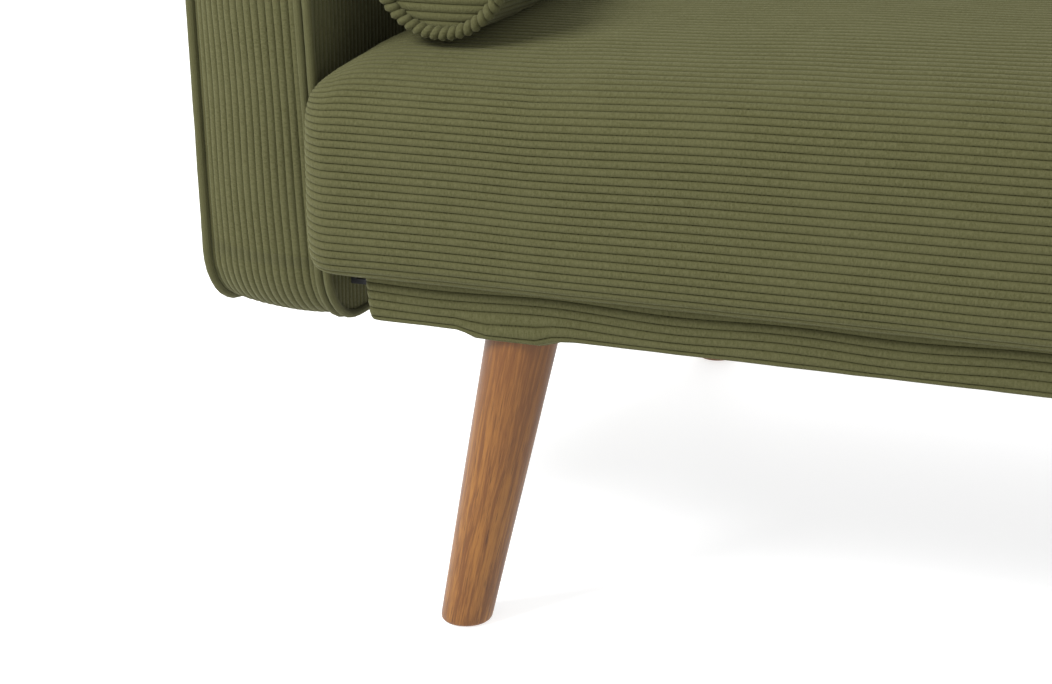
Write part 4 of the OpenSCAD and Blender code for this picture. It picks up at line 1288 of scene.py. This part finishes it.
@dataclass
class Bolster:
    """One round bolster with piped ends."""

    side: Side
    radius: float = 0.050
    piping: float = 0.0055

    def build(self, finishes: Finishes) -> None:
        """Makes the bolster's body, ends and piping."""
        word = self.side.word
        lo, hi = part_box(f"bolster_piping_{word}")
        cx, cz = (lo.x + hi.x) / 2, (lo.z + hi.z) / 2
        y0, y1 = lo.y, hi.y
        full = (hi.x - lo.x) / 2
        ring_r = full - self.piping
        s, across = wale_rows(2 * math.pi * self.radius)
        s, across = s[:-1], across[:-1]
        angle = -math.pi / 2 + s / self.radius
        along = np.linspace(y0 + 0.006, y1 - 0.006, 46)
        t = (along - y0) / (y1 - y0)
        swell = self.radius - 0.004 * np.exp(-np.minimum(t, 1 - t) / 0.03)
        uneven = 0.0009 * waves(angle[:, None] * 0.05, along[None], 31 + self.side.value, 0.13)
        r = swell[None] + uneven * smoothstep(0, 0.05, np.minimum(t, 1 - t))[None]
        flat = np.clip((-np.sin(angle) - 0.82) / 0.18, 0, 1)[:, None]
        body = np.stack([cx + r * np.cos(angle)[:, None], np.broadcast_to(along[None], r.shape),
                         cz + (r - 0.0006 * flat) * np.sin(angle)[:, None]], -1)
        parts = [Cloth(body, across, along - y0, np.ones(r.shape), wrap_rows=True)]
        circle = arc((0, 0), ring_r - 0.002, 0, 360, 96)[:-1]
        for y, look in ((y0 + 0.007, -1.0), (y1 - 0.007, 1.0)):
            def place(a: np.ndarray, b: np.ndarray, y: float = y, look: float = look) -> np.ndarray:
                """Lays the round end, a little domed."""
                rr = np.clip((a ** 2 + b ** 2) / ring_r ** 2, 0, 1)
                return np.stack([cx + b, y + look * 0.006 * (1 - rr ** 1.6), cz + a], -1)

            parts.append(panel(circle, place, (0, look, 0), 26))
        piece = finishes.relief.apply(cloth_object("bolster_case_" + word, parts), finishes.cloth,
                                      depth=0.0012,
                                      uneven=0.0008, lump=0.04)
        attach(piece, "bolster_" + word)
        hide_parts(f"bolster_cover_{word}", f"bolster_fill_{word}")
        cords = []
        a = np.linspace(0, 2 * math.pi, 96, endpoint=False)
        out = np.stack([np.cos(a), np.zeros_like(a), np.sin(a)], -1)
        flat3 = np.tile([0.0, 1.0, 0.0], (96, 1))
        for y in (y0 + self.piping, y1 - self.piping):
            line = out * ring_r + np.array([cx, y, cz])
            cords.append(cord_cloth(line, flat3, out, self.piping - 0.0001, 0.0062, 0.3, sides=16))
        piping = finishes.relief.apply(cloth_object("bolster_cord_" + word, cords), finishes.piping,
                                       depth=0.0021,
                                       uneven=0.0005, sharpness=2.6)
        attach(piping, "bolster_" + word)
        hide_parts(f"bolster_piping_{word}")
        log.info("bolster %s", word)


@dataclass
class Leg:
    """One splayed, tapered wooden leg."""

    node: str
    top_d: float = 0.052
    foot_d: float = 0.037
    reach: float = 0.032
    rings: int = 26
    sides: int = 48

    def build(self, finishes: Finishes) -> None:
        """Turns the leg, with eased rims and a grain that follows it."""
        lo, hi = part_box(self.node)
        sx = -1.0 if lo.x < -0.1 else (1.0 if hi.x > 0.1 else 0.0)
        sy = 0.0 if sx == 0 else (-1.0 if lo.y < 0 else 1.0)
        top_d, foot_d, reach = (self.top_d, self.foot_d, self.reach) if sx else (hi.x - lo.x,
                                                                                 hi.x - lo.x, 0.0)
        rx = top_d / 2
        top = np.array([(hi.x - rx) if sx < 0 else (lo.x + rx), (hi.y - rx) if sy < 0 else (lo.y + rx),
                        hi.z])
        if not sx:
            top = np.array([0.0, (lo.y + hi.y) / 2, hi.z])
        foot = np.array([top[0] + sx * reach, top[1] + sy * reach, lo.z])
        h = hi.z - lo.z
        heights = np.concatenate([[0.0, 0.0004, 0.0012, 0.0026], np.linspace(0.006, h - 0.004, self.rings),
                                  [h - 0.0012, h, h + 0.0045]])
        ease = np.concatenate([[0.0026, 0.0014, 0.0006, 0.0001], np.zeros(self.rings + 2), [0.001]])
        a = np.linspace(0, 2 * math.pi, self.sides, endpoint=False)
        points, grain = [], []
        seed = 0.13 * (1 + sx) + 0.37 * (1 + sy)
        for z, e in zip(heights, ease):
            t = z / h
            centre = foot + (top - foot) * t
            radius = foot_d / 2 + (top_d - foot_d) / 2 * t - e
            xy = np.stack([radius * np.cos(a), radius * np.sin(a), np.zeros_like(a)], -1)
            points.append(centre + xy)
            grain.append(np.stack([xy[:, 0] + seed, xy[:, 1] - seed, np.full_like(a, z)], -1))
        points.append(np.array([points[0].mean(0), points[-1].mean(0)]))
        grain.append(np.array([[seed, -seed, 0.0], [seed, -seed, h]]))
        n, m = len(heights), self.sides
        faces = [(i * m + k, i * m + (k + 1) % m, (i + 1) * m + (k + 1) % m, (i + 1) * m + k)
                 for i in range(n - 1) for k in range(m)]
        faces += [(n * m, (k + 1) % m, k) for k in range(m)]
        faces += [(n * m + 1, (n - 1) * m + k, (n - 1) * m + (k + 1) % m) for k in range(m)]
        piece = mesh_object(self.node + "_turned", np.vstack(points), faces,
                            {Reading.GRAIN: np.vstack(grain)})
        piece.data.materials.append(finishes.leg)
        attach(piece, "sofa")
        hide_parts(self.node)
        log.info("%s", self.node)


class StapleRow:
    """Staples set at even steps along a path, made by a geometry tree."""

    def __init__(self) -> None:
        """Builds the tree."""
        g = bpy.data.node_groups.new("Staple row", "GeometryNodeTree")
        socket(g, "Geometry", "Geometry", True)
        socket(g, "Spacing", "Float", True, 0.05)
        socket(g, "Crown", "Float", True, 0.011)
        socket(g, "Wire", "Float", True, 0.0009)
        socket(g, "Finish", "Material", True)
        socket(g, "Geometry", "Geometry", False)
        t = Tree(g)
        given = t.add("NodeGroupInput")
        curve = t.add("GeometryNodeMeshToCurve", {0: given.outputs["Geometry"]})
        even = t.add("GeometryNodeResampleCurve", {0: curve.outputs[0]})
        even.mode = "LENGTH"
        t.tree.links.new(given.outputs["Spacing"], even.inputs["Length"])
        size = t.add("ShaderNodeCombineXYZ", {0: given.outputs["Crown"], 1: given.outputs["Wire"],
                                              2: given.outputs["Wire"]})
        bar = t.add("GeometryNodeMeshCube", {"Size": size.outputs[0], "Vertices X": 6, "Vertices Y": 3,
                                             "Vertices Z": 3})
        tangent = t.add("GeometryNodeInputTangent")
        turn = t.add("FunctionNodeAlignEulerToVector", {"Vector": tangent.outputs[0]}, axis="X")
        put = t.add("GeometryNodeInstanceOnPoints", {"Points": even.outputs[0], "Instance": bar.outputs[0],
                                                     "Rotation": turn.outputs[0]})
        real = t.add("GeometryNodeRealizeInstances", {0: put.outputs[0]})
        done = t.add("GeometryNodeSetMaterial", {0: real.outputs[0], "Material": given.outputs["Finish"]})
        t.add("NodeGroupOutput", {0: done.outputs[0]})
        self.group = g

    def lay(self, name: str, path: np.ndarray, spacing: float,
            finish: bpy.types.Material) -> bpy.types.Object:
        """Sets staples along a closed path.

        Args:
            name: the piece's name.
            path: the path's points.
            spacing: the step between staples.
            finish: their material.

        Returns:
            The piece.
        """
        mesh = bpy.data.meshes.new(name + ".path")
        edges = [(i, (i + 1) % len(path)) for i in range(len(path))]
        mesh.from_pydata(path.tolist(), edges, [])
        obj = bpy.data.objects.new(name + ".path", mesh)
        bpy.context.scene.collection.objects.link(obj)
        return shaped(obj, self.group, {"Spacing": spacing, "Crown": 0.011, "Wire": 0.001,
                                        "Finish": finish}, name)


@dataclass
class Underside:
    """The staples that hold the black lining under the plinth."""

    inset: float = 0.007

    def build(self, finishes: Finishes) -> None:
        """Sets the staples."""
        lo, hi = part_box("dust_cover")
        m, z = self.inset, lo.z - 0.0002
        loop = rounded_loop([(lo.x + m, lo.y + m), (hi.x - m, lo.y + m), (hi.x - m, hi.y - m),
                             (lo.x + m, hi.y - m)],
                            [0.004] * 4, 0.05, 3)
        path = np.concatenate([loop, np.full((len(loop), 1), z)], -1)
        piece = StapleRow().lay("lining_staples", path, 0.045, finishes.zinc)
        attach(piece, "sofa")
        log.info("lining staples")


def dress_nodes(frame: dict, finishes: Finishes) -> None:
    """Gives every node that stays on show its finish.

    Args:
        finishes: the materials.
    """
    pine_x = ("plinth_front_rail", "plinth_rear_rail", "seat_front_rail", "seat_rear_rail", "corner_blocks")
    pine_y = ("plinth_side_rails", "plinth_middle_rail", "seat_end_rails", "seat_middle_rail")
    chosen: dict[str, bpy.types.Material] = {n: finishes.pine[0] for n in pine_x}
    chosen |= {n: finishes.pine[1] for n in pine_y}
    chosen |= {n: finishes.pine[2] for n in ("arm_frame_left", "arm_frame_right", "back_frame_left",
                                             "back_frame_right")}
    chosen |= {"seat_slats": finishes.slat[1], "back_slats_left": finishes.slat[2],
               "back_slats_right": finishes.slat[2], "dust_cover": finishes.lining,
               "leg_glides": finishes.glide, "middle_leg": finishes.leg}
    by_slot = {"steel": finishes.zinc, "black_steel": finishes.black, "foam": finishes.foam,
               "cloth": finishes.cloth, "piping_cloth": finishes.piping, "leg_wood": finishes.leg,
               "lining": finishes.lining, "glide_plastic": finishes.glide,
               "frame_wood": finishes.pine[0], "slat_wood": finishes.slat[1]}
    slots = {part["node"]: part["material_slot"] for part in frame["record"]["subparts"]}
    for name, obj in frame["nodes"].items():
        material = chosen.get(name) or by_slot.get(slots.get(name, ""), finishes.zinc)
        obj.data.materials.clear()
        obj.data.materials.append(material)


# ---- studio ----


@dataclass(frozen=True)
class Studio:
    """A pale floor, soft lights and the camera."""

    lens: float = 67.07

    def build(self, sizes: Sizes) -> None:
        """Sets up the camera, the floor, the lights and the surroundings."""
        scene = bpy.context.scene
        scene.view_settings.view_transform = "Standard"
        camera = bpy.data.objects.new("camera", bpy.data.cameras.new("camera"))
        camera.data.lens, camera.data.sensor_width = self.lens, 36.0
        camera.data.sensor_fit = "HORIZONTAL"
        camera.data.clip_end = 60.0
        camera.location = (-0.243, sizes.front_y - 1.173, 0.615)
        camera.rotation_euler = Euler((math.radians(72.5), 0.0, math.radians(21.2)))
        scene.collection.objects.link(camera)
        scene.camera = camera
        floor = mesh_object("floor", np.array([[-16, -16, 0], [16, -16, 0], [16, 16, 0], [-16, 16, 0]],
                                              float),
                            [(0, 1, 2, 3)])
        material, t, body = shader("studio floor")
        place = t.add("ShaderNodeTexCoord").outputs["Object"]
        t.feed(body, {"Base Color": t.mix(t.noise(place, 3.0), rgb(0.5, 0.5, 0.5), rgb(0.53, 0.53, 0.53)),
                      "Roughness": 0.9, "Emission Color": rgb(1, 1, 1), "Emission Strength": 0.76})
        floor.data.materials.append(material)
        self.light("key", (-2.3, -2.2, 2.5), (-0.4, -0.2, 0.35), 1.3, 150.0)
        self.light("fill", (2.8, -2.4, 2.2), (0.0, 0.0, 0.35), 2.4, 8.0)
        self.light("back", (-0.5, 3.2, 2.6), (0.0, 0.0, 0.4), 2.4, 36.0)
        world = bpy.data.worlds.new("white room")
        scene.world = world
        world.use_nodes = True
        world.node_tree.nodes.clear()
        w = Tree(world.node_tree)
        way = w.add("ShaderNodeSeparateXYZ", {0: w.add("ShaderNodeTexCoord").outputs["Generated"]}).outputs[2]
        air = w.add("ShaderNodeBackground", {0: rgb(1, 1, 1), 1: w.ramp(way, 0.1, 0.6, 1.0, 0.94)})
        w.add("ShaderNodeOutputWorld", {0: air.outputs[0]})

    @staticmethod
    def light(name: str, at: tuple, towards: tuple, size: float, power: float) -> None:
        """Adds a soft square lamp."""
        lamp = bpy.data.lights.new(name, "AREA")
        lamp.size, lamp.energy = size, power
        obj = bpy.data.objects.new(name, lamp)
        obj.location = at
        obj.rotation_euler = (Vector(towards) - Vector(at)).to_track_quat("-Z", "Y").to_euler()
        bpy.context.scene.collection.objects.link(obj)


def main() -> None:
    """Builds the sofa piece by piece."""
    logging.basicConfig(level=logging.INFO, format="%(name)s: %(message)s")
    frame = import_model()
    sizes = Sizes.measured()
    Studio().build(sizes)
    finishes = Finishes()
    dress_nodes(frame, finishes)
    Seat(sizes).build(finishes)
    Plinth(sizes).build(finishes)
    for side in Side:
        Arm(sizes, side).build(finishes)
        Back(sizes, side).build(finishes)
        Bolster(side).build(finishes)
    for node in ("leg_front_left", "leg_front_right", "leg_rear_left", "leg_rear_right", "middle_leg"):
        Leg(node).build(finishes)
    Underside().build(finishes)


if __name__ == "__main__":
    main()
